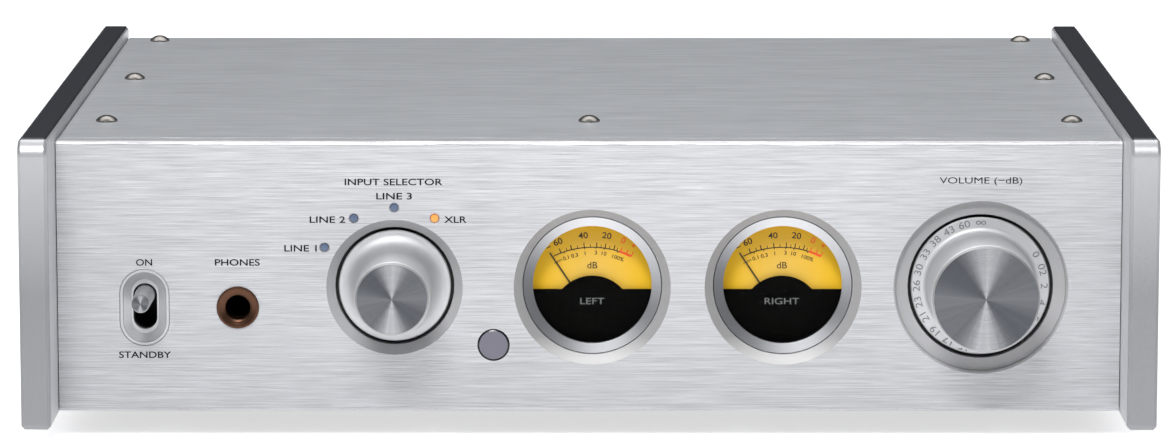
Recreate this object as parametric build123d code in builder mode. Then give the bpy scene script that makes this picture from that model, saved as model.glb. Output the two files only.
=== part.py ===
from build123d import *
import os
from math import cos, radians, sin

# Compact stereo power amplifier: a brushed aluminium box between two thick side plates, with a toggle,
# a headphone socket, an input selector, two needle meters and a motor-driven volume control.
# Millimetres. +Z is up, the front faces -Y, and the origin is on the floor under the middle of the box.
# A "depth" is measured from the front panel's face into the case, so in front of the face it is negative.

os.makedirs("parts", exist_ok=True)

# ---- driving dimensions -------------------------------------------------------------------------
overall_width = 290.0
plate_thickness = 7.5
plate_length = 249.0
plate_height = 75.0
foot_clearance = 6.2  # floor to the side plates' lower edge
rear_reach = 15.0  # how far the speaker posts stand out past the side plates

panel_setback = 22.0  # the side plates stand this far in front of the front panel
panel_thickness = 6.0
panel_top_step = 3.4  # side plates' top edge above the panel and the cover
panel_bottom_step = 1.0
seam = 0.2  # hairline gap between outer panels
cover_thickness = 2.5
cover_rear_step = 2.4  # the cover stops this far short of the side plates' rear edge
tray_sheet = 1.5
subpanel_sheet = 1.2
rear_panel_thickness = 2.0
board_thickness = 1.6
standoff_height = 6.0
standoff_radius = 3.0  # threaded pillars on the tray

fit_gap = 0.05  # between a hole and the plain shank, bush or spigot in it
thread_radius = 1.5  # M3
drill = thread_radius + fit_gap

# ---- places worked out from them ----------------------------------------------------------------
front_y = -(plate_length + rear_reach) / 2
rear_y = front_y + plate_length
face_y = front_y + panel_setback
panel_back_y = face_y + panel_thickness
inner_width = overall_width - 2 * plate_thickness
panel_bottom = foot_clearance + panel_bottom_step
panel_top = foot_clearance + plate_height - panel_top_step
panel_width = inner_width - 2 * seam
cover_under = panel_top - cover_thickness
cover_rear_y = rear_y - cover_rear_step
tray_bottom = panel_bottom + 0.8
tray_floor = tray_bottom + tray_sheet
subpanel_back = panel_thickness + subpanel_sheet  # as a depth
rear_panel_y = cover_rear_y - rear_panel_thickness - 0.6
rear_face_y = rear_panel_y + rear_panel_thickness

# The four big controls share one row; the toggle and the headphone socket share a lower one.
row_z = panel_bottom + 32.5
low_row_z = panel_bottom + 27.2
controls_x = 25.5
meter_offset = 24.65
knob_offset = 75.75
selector_x = controls_x - knob_offset
volume_x = controls_x + knob_offset
meter_left_x = controls_x - meter_offset
meter_right_x = controls_x + meter_offset
meter_xs = (meter_left_x, meter_right_x)
toggle_x = -114.9
phones_x = -90.8
window_x = (selector_x + meter_left_x) / 2
window_z = panel_bottom + 17.4

# Along Y: the three screws down each side of the cover
cover_screw_x = 127.5
cover_screw_ys = (front_y + 60.5, front_y + 149.5, front_y + 238.5)


def write(piece, name):
    """Labels a finished piece and writes it as a STEP file of its own."""
    piece.part.label = name
    export_step(piece.part, f"parts/{name}.step")


def front_plane(depth=0.0):
    """The plane at a depth behind the panel's face: x along X, y along Z, its normal to the front."""
    return Plane(origin=(0, face_y + depth, 0), x_dir=(1, 0, 0), z_dir=(0, -1, 0))


def rear_plane(y):
    """A plane across the case at Y, with x along X, y along Z and its normal facing the front."""
    return Plane(origin=(0, y, 0), x_dir=(1, 0, 0), z_dir=(0, -1, 0))


def lathe_plane(x, z, y=face_y):
    """The plane for a turned outline: x is the radius from the Y-wise line through (x, z), y the depth."""
    return Plane(origin=(x, y, z), x_dir=(1, 0, 0), z_dir=(0, 0, 1))


def lathe_axis(x, z):
    """The Y-wise line that an outline on lathe_plane(x, z) turns round."""
    return Axis((x, 0, z), (0, 1, 0))


def turned(outline, x, z, y=face_y):
    """A body turned about the Y-wise line through (x, z), from an outline of (radius, depth) points."""
    with BuildPart() as body:
        with BuildSketch(lathe_plane(x, z, y)):
            with BuildLine():
                Polyline(*outline, close=True)
            make_face()
        revolve(axis=lathe_axis(x, z))
    return body.part


def turned_upright(outline, x, y):
    """A body turned about the vertical line through (x, y), from an outline of (radius, height) points."""
    with BuildPart() as body:
        with BuildSketch(Plane(origin=(x, y, 0), x_dir=(1, 0, 0), z_dir=(0, -1, 0))):
            with BuildLine():
                Polyline(*outline, close=True)
            make_face()
        revolve(axis=Axis((x, y, 0), (0, 0, 1)))
    return body.part


# ---- side plates --------------------------------------------------------------------------------
# Thick machined plates that carry the box between them and guard the knobs.
plate_top_radius = 4.5
plate_low_radius = 1.5
plate_rear_radius = 2.0
plate_chamfer = 0.8
side_screw_ys = (front_y + 45, front_y + 110, front_y + 175, front_y + 232)
side_screw_z = panel_bottom + 16
side_screw_depth = 5.0

for side, name in ((-1, "side_plate_left"), (1, "side_plate_right")):
    inner_x = side * inner_width / 2
    with BuildPart() as plate:
        with BuildSketch(Plane.YZ.offset(inner_x)):
            with Locations((front_y + plate_length / 2, foot_clearance + plate_height / 2)):
                Rectangle(plate_length, plate_height)
        extrude(amount=side * plate_thickness)
        front_corners = plate.edges().filter_by(Axis.X).group_by(Axis.Y)[0]
        fillet(front_corners.sort_by(Axis.Z)[-1], radius=plate_top_radius)
        front_corners = plate.edges().filter_by(Axis.X).group_by(Axis.Y)[0]
        fillet(front_corners.sort_by(Axis.Z)[0], radius=plate_low_radius)
        fillet(plate.edges().filter_by(Axis.X).group_by(Axis.Y)[-1], radius=plate_rear_radius)
        cheeks = plate.faces().filter_by(Axis.X).sort_by(Axis.X)
        chamfer(cheeks[0].edges() + cheeks[-1].edges(), length=plate_chamfer)
        with Locations(*[Plane((inner_x, y, side_screw_z), z_dir=(-side, 0, 0)) for y in side_screw_ys]):
            Hole(radius=drill, depth=side_screw_depth)
    write(plate, name)

# ---- front panel --------------------------------------------------------------------------------
# A thick slab, brushed along X, with turned recesses round the knobs and the meters.
recess_depth = 2.7
selector_hole_radius = 15.4
selector_recess_radius = selector_hole_radius + 2.25
volume_hole_radius = 18.85
volume_recess_radius = volume_hole_radius + 3.75
volume_wall_radius = volume_recess_radius - 0.5
volume_edge = 0.4
volume_floor_radius = volume_wall_radius - 0.2
volume_floor_depth = 1.6
volume_rim_depth = 2.3
meter_hole_radius = 18.1
meter_recess_radius = meter_hole_radius + 2.2
meter_recess_depth = 3.1
switch_pocket_width = 13.0
switch_pocket_height = 20.2
switch_pocket_depth = 4.0
switch_way_width = 9.0
switch_way_height = 16.0
phones_ring_radius = 5.45
window_radius = 3.9
window_gap = 0.3
lamp_radius = 0.95
lamp_gap = 0.1
lamp_mouth = 0.35
lamp_circle_radius = 20.8
lamp_angles = (-60, -30, 0)
lit_lamp_angle = 30
panel_screw_xs = (-128, -70, controls_x, 128)
panel_screw_places = [(x, z) for x in panel_screw_xs for z in (panel_bottom + 8, panel_top - 8)]
panel_screw_depth = 5.0


def lamp_place(angle):
    """Where the lamp at an angle from the top of the selector's dial sits, as (x, z)."""
    return (
        selector_x + lamp_circle_radius * sin(radians(angle)),
        row_z + lamp_circle_radius * cos(radians(angle)),
    )


lamp_places = [lamp_place(angle) for angle in lamp_angles]
lit_lamp_place = lamp_place(lit_lamp_angle)

with BuildPart() as front_panel:
    with BuildSketch(front_plane()):
        with Locations((0, (panel_bottom + panel_top) / 2)):
            Rectangle(panel_width, panel_top - panel_bottom)
    extrude(amount=-panel_thickness)
    face_edges = front_panel.faces().sort_by(Axis.Y)[0].edges().sort_by(Axis.Z)
    fillet(face_edges[-1], radius=1.1)
    chamfer(front_panel.faces().sort_by(Axis.Y)[0].edges().sort_by(Axis.Z)[0], length=0.7)
    for x in meter_xs:
        slope = (meter_recess_radius - meter_hole_radius) / meter_recess_depth
        outline = [
            (0, -1),
            (meter_recess_radius + slope, -1),
            (meter_hole_radius, meter_recess_depth),
            (meter_hole_radius, panel_thickness + 1),
            (0, panel_thickness + 1),
        ]
        add(turned(outline, x, row_z), mode=Mode.SUBTRACT)
    selector_slope = (selector_recess_radius - selector_hole_radius) / recess_depth
    selector_cut = [
        (0, -1),
        (selector_recess_radius + selector_slope, -1),
        (selector_hole_radius, recess_depth),
        (selector_hole_radius, panel_thickness + 1),
        (0, panel_thickness + 1),
    ]
    add(turned(selector_cut, selector_x, row_z), mode=Mode.SUBTRACT)
    volume_cut = [
        (0, -volume_edge),
        (2 * volume_recess_radius - volume_wall_radius, -volume_edge),
        (volume_wall_radius, volume_edge),
        (volume_floor_radius, volume_floor_depth),
        (volume_hole_radius, volume_rim_depth),
        (volume_hole_radius, panel_thickness + 1),
        (0, panel_thickness + 1),
    ]
    add(turned(volume_cut, volume_x, row_z), mode=Mode.SUBTRACT)
    with BuildSketch(front_plane()):
        with Locations((toggle_x, low_row_z)):
            SlotOverall(switch_pocket_height, switch_pocket_width, rotation=90)
    extrude(amount=-switch_pocket_depth, mode=Mode.SUBTRACT)
    with BuildSketch(front_plane()):
        with Locations((toggle_x, low_row_z)):
            SlotOverall(switch_way_height, switch_way_width, rotation=90)
        with Locations((phones_x, low_row_z)):
            Circle(phones_ring_radius + fit_gap)
        with Locations((window_x, window_z)):
            Circle(window_radius + window_gap)
    extrude(amount=-panel_thickness, mode=Mode.SUBTRACT)
    for x, z in [*lamp_places, lit_lamp_place]:
        hole = lamp_radius + lamp_gap
        outline = [
            (0, -lamp_mouth),
            (hole + 2 * lamp_mouth, -lamp_mouth),
            (hole, lamp_mouth),
            (hole, panel_thickness + 1),
            (0, panel_thickness + 1),
        ]
        add(turned(outline, x, z), mode=Mode.SUBTRACT)
    with BuildSketch(front_plane(panel_thickness)):
        with Locations(*panel_screw_places):
            Circle(drill)
    extrude(amount=panel_screw_depth, mode=Mode.SUBTRACT)
write(front_panel, "front_panel")

# ---- front subpanel -----------------------------------------------------------------------------
# Black sheet steel behind the slab: it carries the controls and closes the slots round the knobs.
bush_radius = 4.5
case_clearance = 0.3
meter_barrel_radius = meter_hole_radius - 0.1
subpanel_width = inner_width - 2 * tray_sheet - 0.6
subpanel_flange = 12.0
subpanel_top = cover_under - tray_sheet - 0.3
subpanel_foot_xs = (-110, -40, 40, 110)

with BuildPart() as front_subpanel:
    with BuildSketch(front_plane(panel_thickness)):
        with Locations((0, (tray_floor + subpanel_top) / 2)):
            Rectangle(subpanel_width, subpanel_top - tray_floor)
        with Locations((selector_x, row_z), (volume_x, row_z)):
            Circle(bush_radius + fit_gap, mode=Mode.SUBTRACT)
        with Locations((meter_left_x, row_z), (meter_right_x, row_z)):
            Circle(meter_hole_radius, mode=Mode.SUBTRACT)
        with Locations((toggle_x, low_row_z)):
            SlotOverall(switch_way_height, switch_way_width, rotation=90, mode=Mode.SUBTRACT)
        with Locations((phones_x, low_row_z)):
            Circle(phones_ring_radius + fit_gap, mode=Mode.SUBTRACT)
        with Locations(*lamp_places, lit_lamp_place):
            Circle(lamp_radius + lamp_gap, mode=Mode.SUBTRACT)
        with Locations(*panel_screw_places):
            Circle(drill, mode=Mode.SUBTRACT)
    extrude(amount=-subpanel_sheet)
    with BuildSketch(Plane.XY.offset(tray_floor)):
        with Locations((0, panel_back_y + subpanel_flange / 2)):
            Rectangle(subpanel_width, subpanel_flange)
        with Locations(*[(x, panel_back_y + subpanel_flange / 2 + 1) for x in subpanel_foot_xs]):
            Circle(drill, mode=Mode.SUBTRACT)
    extrude(amount=subpanel_sheet)
write(front_subpanel, "front_subpanel")

# ---- chassis tray -------------------------------------------------------------------------------
# One folded sheet: floor, side walls with inward lips for the cover screws, and a low rear lip.
lip_width = 17.0
rear_lip_height = 10.0
rear_tab_width = 11.0
foot_x = 99.0
front_foot_y = front_y + 75.8
rear_foot_y = rear_y - 27.0
foot_places = [(-foot_x, front_foot_y), (foot_x, front_foot_y), (0.0, rear_foot_y)]
foot_thread_radius = 2.0
transformer_place = (-80.0, 30.0)
transformer_bolt_radius = 3.0
tray_length = rear_panel_y - panel_back_y
tray_mid_y = (rear_panel_y + panel_back_y) / 2
rear_screw_places = [(side * 129.5, z) for side in (-1, 1) for z in (panel_bottom + 17, panel_top - 17)]
rear_screw_places += [(side * 60, tray_floor + 5) for side in (-1, 1)]
power_board_places = [(x, y) for x in (-24, 22) for y in (-50, 62)]
amplifier_board_places = [(x, y) for x in (36, 128) for y in (-36, 62)]
standoff_places = power_board_places + amplifier_board_places

tray_height = cover_under - tray_bottom
rear_tab_x = inner_width / 2 - tray_sheet - rear_tab_width / 2

with BuildPart() as chassis_tray:
    with BuildSketch(rear_plane(panel_back_y)):
        with Locations((0, (tray_bottom + cover_under) / 2)):
            Rectangle(inner_width, tray_height)
            Rectangle(inner_width - 2 * tray_sheet, tray_height - 2 * tray_sheet, mode=Mode.SUBTRACT)
        with Locations((0, cover_under)):
            Rectangle(inner_width - 2 * lip_width, 4 * tray_sheet, mode=Mode.SUBTRACT)
    extrude(amount=-tray_length)
    with BuildSketch(rear_plane(rear_panel_y)):
        with Locations((0, tray_floor + rear_lip_height / 2)):
            Rectangle(inner_width - 2 * tray_sheet, rear_lip_height)
        with Locations(*[(side * rear_tab_x, (tray_floor + cover_under) / 2) for side in (-1, 1)]):
            Rectangle(rear_tab_width, cover_under - tray_floor)
        with Locations(*rear_screw_places):
            Circle(drill, mode=Mode.SUBTRACT)
    extrude(amount=tray_sheet)
    with BuildSketch(Plane.XY.offset(tray_bottom)):
        with Locations(*[(x, panel_back_y + subpanel_flange / 2 + 1) for x in subpanel_foot_xs]):
            Circle(drill)
        with Locations(*foot_places):
            Circle(foot_thread_radius + fit_gap)
        with Locations(transformer_place):
            Circle(transformer_bolt_radius + fit_gap)
    extrude(amount=tray_sheet, mode=Mode.SUBTRACT)
    with BuildSketch(Plane.XY.offset(cover_under)):
        with Locations(*[(side * cover_screw_x, y) for side in (-1, 1) for y in cover_screw_ys]):
            Circle(drill)
    extrude(amount=-tray_sheet, mode=Mode.SUBTRACT)
    with BuildSketch(Plane.YZ.offset(-inner_width / 2)):
        with Locations(*[(y, side_screw_z) for y in side_screw_ys]):
            Circle(drill)
    extrude(amount=inner_width, mode=Mode.SUBTRACT)
write(chassis_tray, "chassis_tray")

# ---- top cover and its brace --------------------------------------------------------------------
cover_screw_places = [(side * cover_screw_x, y) for side in (-1, 1) for y in cover_screw_ys]
cover_screw_places.append((0, cover_screw_ys[0]))
cover_length = cover_rear_y - panel_back_y - seam / 2

with BuildPart() as top_cover:
    with BuildSketch(Plane.XY.offset(cover_under)):
        with Locations((0, cover_rear_y - cover_length / 2)):
            Rectangle(panel_width, cover_length)
        with Locations(*cover_screw_places):
            Circle(thread_radius + 0.15, mode=Mode.SUBTRACT)
    extrude(amount=cover_thickness)
    chamfer(top_cover.faces().sort_by(Axis.Z)[-1].edges().filter_by(GeomType.LINE), length=0.3)
write(top_cover, "top_cover")

brace_width = 20.0
brace_edge = 6.0
brace_top = cover_under - tray_sheet

with BuildPart() as top_brace:
    with BuildSketch(Plane.YZ.offset(-(inner_width / 2 - tray_sheet - 1))):
        with Locations((cover_screw_ys[0], brace_top - brace_edge / 2)):
            Rectangle(brace_width, brace_edge)
        with Locations((cover_screw_ys[0], brace_top - tray_sheet - brace_edge / 2)):
            Rectangle(brace_width - 2 * tray_sheet, brace_edge, mode=Mode.SUBTRACT)
    extrude(amount=inner_width - 2 * tray_sheet - 2)
    with BuildSketch(Plane.XY.offset(brace_top)):
        with Locations((0, cover_screw_ys[0])):
            Circle(6)
    extrude(amount=tray_sheet)
    with BuildSketch(Plane.XY.offset(cover_under)):
        with Locations(*[(x, cover_screw_ys[0]) for x in (-cover_screw_x, 0, cover_screw_x)]):
            Circle(drill)
    extrude(amount=-3 * tray_sheet, mode=Mode.SUBTRACT)
write(top_brace, "top_brace")

# ---- screws -------------------------------------------------------------------------------------
# Domed button heads with a hexagon socket hold the cover; plain pan heads hold everything inside.
screw_length = 6.0
button_radius = 2.85
button_height = 1.7
button_edge = 0.35
socket_across_flats = 2.0
socket_depth = 1.1
dome_rise = button_height - button_edge
dome_radius = (button_radius**2 + dome_rise**2) / (2 * dome_rise)
pan_radius = 2.75
pan_height = 1.9

with BuildPart() as button_screw:
    with BuildSketch(Plane.XZ):
        with BuildLine():
            Line((0, -screw_length), (thread_radius, -screw_length))
            Line((thread_radius, -screw_length), (thread_radius, 0))
            Line((thread_radius, 0), (button_radius, 0))
            Line((button_radius, 0), (button_radius, button_edge))
            RadiusArc((button_radius, button_edge), (0, button_height), -dome_radius)
            Line((0, button_height), (0, -screw_length))
        make_face()
    revolve(axis=Axis.Z)
    with BuildSketch(Plane.XY.offset(button_height)):
        RegularPolygon(socket_across_flats / 2, 6, major_radius=False)
    extrude(amount=-socket_depth, mode=Mode.SUBTRACT)

with BuildPart() as pan_screw:
    Cylinder(thread_radius, screw_length, align=(Align.CENTER, Align.CENTER, Align.MAX))
    Cylinder(pan_radius, pan_height, align=(Align.CENTER, Align.CENTER, Align.MIN))
    fillet(pan_screw.edges().filter_by(GeomType.CIRCLE).sort_by(Axis.Z)[-1], radius=0.9)
    with BuildSketch(Plane.XY.offset(pan_height)):
        Rectangle(3.0, 0.7)
        Rectangle(0.7, 3.0)
    extrude(amount=-1.0, mode=Mode.SUBTRACT)

with BuildPart() as top_cover_screws:
    with Locations(*[(x, y, panel_top) for x, y in cover_screw_places]):
        add(button_screw.part)
write(top_cover_screws, "top_cover_screws")

# ---- rear panel ---------------------------------------------------------------------------------
inlet_x = -100.0
inlet_z = panel_bottom + 36
inlet_screw_spacing = 40.0
inlet_body_width = 27.0
inlet_body_height = 19.8
post_xs = (-60.0, -38.0, -12.0, 10.0)
post_z = panel_bottom + 36
post_stem_radius = 3.5
xlr_xs = (38.0, 68.0)
xlr_z = panel_bottom + 36
xlr_body_radius = 11.8
rca_xs = (89.0, 103.0, 117.0)
rca_zs = (panel_bottom + 29, panel_bottom + 43)
rca_places = [(x, z) for x in rca_xs for z in rca_zs]
rca_barrel_radius = 4.15
xlr_screw_spots = ((-9.5, 12.0), (9.5, -12.0))
rear_panel_height = cover_under - 0.1 - tray_bottom

with BuildPart() as rear_panel:
    with BuildSketch(rear_plane(rear_face_y)):
        with Locations((0, tray_bottom + rear_panel_height / 2)):
            Rectangle(panel_width, rear_panel_height)
        with Locations((inlet_x, inlet_z)):
            Rectangle(inlet_body_width + 0.2, inlet_body_height + 0.2, mode=Mode.SUBTRACT)
            with GridLocations(inlet_screw_spacing, 0, 2, 1):
                Circle(drill, mode=Mode.SUBTRACT)
        with Locations(*[(x, post_z) for x in post_xs]):
            Circle(post_stem_radius + 1.2, mode=Mode.SUBTRACT)
        with Locations(*[(x, xlr_z) for x in xlr_xs]):
            Circle(xlr_body_radius + 0.1, mode=Mode.SUBTRACT)
        with Locations(*[(x + dx, xlr_z + dz) for x in xlr_xs for dx, dz in xlr_screw_spots]):
            Circle(drill, mode=Mode.SUBTRACT)
        with Locations(*rca_places):
            Circle(rca_barrel_radius + 0.1, mode=Mode.SUBTRACT)
        with Locations(*rear_screw_places):
            Circle(drill, mode=Mode.SUBTRACT)
    extrude(amount=rear_panel_thickness)
write(rear_panel, "rear_panel")

# ---- feet ---------------------------------------------------------------------------------------
# Three feet, two in front and one behind, each with a soft ring to stand on and a screw up its middle.
foot_radius = 16.0
foot_pad_height = 1.4
foot_pad_radius = 15.0
foot_pad_bore = 9.0
foot_bore = 5.0
foot_seat = tray_bottom - 3.0
foot_head_radius = 4.0
foot_head_height = 2.2

with BuildPart() as foot_bodies:
    for x, y in foot_places:
        outline = [
            (foot_thread_radius + fit_gap, foot_seat),
            (foot_bore, foot_seat),
            (foot_bore, foot_pad_height),
            (foot_radius - 0.5, foot_pad_height),
            (foot_radius, foot_pad_height + 0.5),
            (foot_radius, tray_bottom - 2.0),
            (foot_radius - 2.0, tray_bottom),
            (foot_thread_radius + fit_gap, tray_bottom),
        ]
        add(turned_upright(outline, x, y))
write(foot_bodies, "foot_bodies")

with BuildPart() as foot_pads:
    for x, y in foot_places:
        outline = [
            (foot_pad_bore, 0),
            (foot_pad_radius - 0.5, 0),
            (foot_pad_radius, 0.5),
            (foot_pad_radius, foot_pad_height),
            (foot_pad_bore, foot_pad_height),
        ]
        add(turned_upright(outline, x, y))
write(foot_pads, "foot_pads")

with BuildPart() as foot_screws:
    for x, y in foot_places:
        outline = [
            (0, foot_seat - foot_head_height),
            (foot_head_radius - 0.6, foot_seat - foot_head_height),
            (foot_head_radius, foot_seat - foot_head_height + 0.8),
            (foot_head_radius, foot_seat),
            (foot_thread_radius, foot_seat),
            (foot_thread_radius, tray_floor + 4),
            (0, tray_floor + 4),
        ]
        add(turned_upright(outline, x, y))
write(foot_screws, "foot_screws")

# ---- power switch -------------------------------------------------------------------------------
# An oval dished insert, a box behind it, and a round metal stick that travels up and down in the slot.
bezel_lip = 0.85
bezel_lip_depth = 0.5
dish_depth = 2.2
slot_width = 6.2
slot_height = 12.0
switch_travel = 6.0
lever_radius = 2.3
lever_root_radius = 2.55
lever_reach = 12.9
switch_box_width = 15.0
switch_box_height = 24.0
switch_box_depth = 16.0
switch_wall = 1.4
lever_end_depth = subpanel_back + switch_box_depth - 4
lever_z = low_row_z + switch_travel / 2

with BuildPart() as power_switch_bezel:
    with BuildSketch(front_plane()):
        with Locations((toggle_x, low_row_z)):
            SlotOverall(switch_pocket_height - 2 * fit_gap, switch_pocket_width - 2 * fit_gap, rotation=90)
    extrude(amount=-(switch_pocket_depth - fit_gap))
    dish_width = switch_pocket_width - 2 * bezel_lip
    dish_height = switch_pocket_height - 2 * bezel_lip
    chamfer(power_switch_bezel.faces().sort_by(Axis.Y)[0].edges(), length=0.25)
    with BuildSketch(front_plane()):
        with Locations((toggle_x, low_row_z)):
            SlotOverall(dish_height, dish_width, rotation=90)
    extrude(amount=-bezel_lip_depth, taper=30, mode=Mode.SUBTRACT)
    with BuildSketch(front_plane(bezel_lip_depth)):
        with Locations((toggle_x, low_row_z)):
            SlotOverall(dish_height - 0.6, dish_width - 0.6, rotation=90)
    extrude(amount=-(dish_depth - bezel_lip_depth), taper=48, mode=Mode.SUBTRACT)
    with BuildSketch(front_plane()):
        with Locations((toggle_x, low_row_z)):
            SlotOverall(slot_height, slot_width, rotation=90)
    extrude(amount=-switch_pocket_depth, mode=Mode.SUBTRACT)
write(power_switch_bezel, "power_switch_bezel")

with BuildPart() as power_lever:
    with BuildSketch(lathe_plane(toggle_x, lever_z)):
        with BuildLine():
            Polyline(
                (0, -lever_reach),
                (lever_radius - 0.3, -lever_reach),
                (lever_radius, 0.3 - lever_reach),
                (lever_root_radius, 0),
                (lever_root_radius, lever_end_depth),
                (0, lever_end_depth),
                close=True,
            )
        make_face()
    revolve(axis=lathe_axis(toggle_x, lever_z))
write(power_lever, "power_lever")

with BuildPart() as power_switch_body:
    with BuildSketch(front_plane(subpanel_back)):
        with Locations((toggle_x, low_row_z)):
            Rectangle(switch_box_width, switch_box_height)
    extrude(amount=-switch_box_depth)
    with BuildSketch(front_plane(subpanel_back + switch_wall)):
        with Locations((toggle_x, low_row_z)):
            Rectangle(switch_box_width - 2 * switch_wall, switch_box_height - 2 * switch_wall)
    extrude(amount=-(switch_box_depth - 2 * switch_wall), mode=Mode.SUBTRACT)
    with BuildSketch(front_plane(subpanel_back)):
        with Locations((toggle_x, low_row_z)):
            SlotOverall(slot_height + 0.6, slot_width, rotation=90)
    extrude(amount=-switch_wall, mode=Mode.SUBTRACT)
    with BuildSketch(front_plane(subpanel_back + switch_box_depth)):
        with Locations((toggle_x, low_row_z)):
            with GridLocations(0, 7, 1, 3):
                Rectangle(4, 0.8)
    extrude(amount=-5)
write(power_switch_body, "power_switch_body")

# ---- headphone socket ---------------------------------------------------------------------------
# A quarter-inch jack: a copper-plated ring with a dished face, and a moulded body behind the subpanel.
phones_bore = 3.25
phones_proud = 0.6
phones_bore_depth = 33.0
phones_body_width = 16.0
phones_body_end = 36.0

with BuildPart() as phones_ring:
    ring_outline = [
        (phones_bore, 0.1),
        (phones_bore + 0.5, -0.25),
        (phones_ring_radius - 0.5, -phones_proud),
        (phones_ring_radius - 0.2, -phones_proud),
        (phones_ring_radius, 0.2 - phones_proud),
        (phones_ring_radius, subpanel_back),
        (phones_bore, subpanel_back),
    ]
    add(turned(ring_outline, phones_x, low_row_z))
write(phones_ring, "phones_ring")

with BuildPart() as phones_jack:
    with BuildSketch(front_plane(subpanel_back)):
        with Locations((phones_x, low_row_z)):
            Rectangle(phones_body_width, phones_body_width)
            Circle(phones_bore, mode=Mode.SUBTRACT)
    extrude(amount=-(phones_bore_depth - subpanel_back))
    with BuildSketch(front_plane(phones_bore_depth)):
        with Locations((phones_x, low_row_z)):
            Rectangle(phones_body_width, phones_body_width)
    extrude(amount=-(phones_body_end - phones_bore_depth))
    fillet(phones_jack.edges().filter_by(Axis.Y), radius=1.0)
write(phones_jack, "phones_jack")

# ---- knobs --------------------------------------------------------------------------------------
# Both knobs are turned: a thin skirt in the panel's hole, a trumpet-shaped neck and a spun front face.
knob_reach = 19.4
shaft_radius = 3.0
shaft_bore = shaft_radius + 0.02
skirt_depth = 2.6  # front of the skirt, below the panel's face
skirt_thickness = 1.2
nut_recess_radius = 8.0
nut_recess_depth = 6.0
cap_step = 1.3
cap_chamfer = 0.45
cap_groove = 0.2
face_thickness = 5.0
skirt_break = 0.25


def knob(x, skirt_radius, neck_start, neck_radius, flare_length):
    """A knob turned about its shaft: a skirt, a trumpet flare, a neck and a cap with a cut edge."""
    skirt_front = skirt_depth - 0.05
    skirt_back = skirt_depth + skirt_thickness
    hub_back = skirt_depth - nut_recess_depth
    step = cap_step - knob_reach
    rim = neck_radius - cap_groove
    with BuildPart() as made:
        with BuildSketch(lathe_plane(x, row_z)):
            with BuildLine():
                Polyline(
                    (neck_radius, skirt_depth - flare_length),
                    (neck_radius, step),
                    (rim, step - 0.15),
                    (rim, cap_chamfer - knob_reach),
                    (rim - cap_chamfer, -knob_reach),
                    (0, -knob_reach),
                    (0, face_thickness - knob_reach),
                    (shaft_bore, face_thickness - knob_reach),
                    (shaft_bore, hub_back),
                    (nut_recess_radius, hub_back),
                    (nut_recess_radius, skirt_back),
                    (skirt_radius, skirt_back),
                    (skirt_radius, skirt_depth + skirt_break),
                    (skirt_radius - skirt_break, skirt_depth),
                    (neck_start, skirt_front),
                )
                EllipticalCenterArc(
                    (neck_start, skirt_depth - flare_length),
                    neck_start - neck_radius,
                    flare_length - 0.05,
                    start_angle=90,
                    arc_size=90,
                )
            make_face()
        revolve(axis=lathe_axis(x, row_z))
    return made


skirt_gap = 0.9
selector_skirt_radius = selector_hole_radius - skirt_gap
volume_skirt_radius = volume_hole_radius - skirt_gap
selector_knob = knob(selector_x, selector_skirt_radius, 13.8, 9.6, 6.5)
write(selector_knob, "selector_knob")
volume_knob = knob(volume_x, volume_skirt_radius, 15.5, 13.9, 1.9)
write(volume_knob, "volume_knob")

# ---- what the knobs turn ------------------------------------------------------------------------
# A small rotary encoder, and a motor-driven potentiometer with its gearbox and motor behind it.
encoder_size = 14.0
encoder_depth = 9.0
pot_size = 27.0
pot_depth = 26.0
bush_front = skirt_depth + 0.4
nut_radius = 6.5
nut_front = panel_thickness - 2.4
gearbox_depth = 7.0
motor_radius = 8.0
motor_length = 20.0
motor_drop = 4.5
shaft_front = 5.2 - knob_reach

for x, width, length, name in (
    (selector_x, encoder_size, encoder_depth, "selector_encoder"),
    (volume_x, pot_size, pot_depth, "volume_pot"),
):
    with BuildPart() as control:
        with BuildSketch(front_plane(subpanel_back)):
            with Locations((x, row_z)):
                Rectangle(width, width)
        extrude(amount=-length)
        with BuildSketch(front_plane(bush_front)):
            with Locations((x, row_z)):
                Circle(bush_radius)
        extrude(amount=bush_front - subpanel_back)
        with BuildSketch(front_plane(bush_front)):
            with Locations((x, row_z)):
                Circle(shaft_radius + fit_gap)
        extrude(amount=bush_front - subpanel_back - length + 2.0, mode=Mode.SUBTRACT)
        with BuildSketch(front_plane(nut_front)):
            with Locations((x, row_z)):
                RegularPolygon(nut_radius, 6)
                Circle(bush_radius + fit_gap, mode=Mode.SUBTRACT)
        extrude(amount=nut_front - panel_thickness)
    if name == "volume_pot":
        motor_depth = subpanel_back + pot_depth
        with BuildPart() as motor:
            with BuildSketch(front_plane(motor_depth)):
                with Locations((volume_x, row_z)):
                    Rectangle(pot_size, pot_size)
            extrude(amount=-gearbox_depth)
            with BuildSketch(front_plane(motor_depth + gearbox_depth)):
                with Locations((volume_x, row_z - motor_drop)):
                    Circle(motor_radius)
            extrude(amount=-motor_length)
            with BuildSketch(front_plane(motor_depth + gearbox_depth + motor_length)):
                with Locations((volume_x, row_z - motor_drop)):
                    Circle(2.5)
            extrude(amount=-1.5)
        control.part += motor.part
    write(control, name)

for x, length, name in (
    (selector_x, encoder_depth, "selector_shaft"),
    (volume_x, pot_depth, "volume_shaft"),
):
    with BuildPart() as shaft:
        with BuildSketch(front_plane(shaft_front)):
            with Locations((x, row_z)):
                Circle(shaft_radius)
        extrude(amount=shaft_front - subpanel_back - length + 2.5)
        chamfer(shaft.edges().filter_by(GeomType.CIRCLE), length=0.3)
    write(shaft, name)

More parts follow.
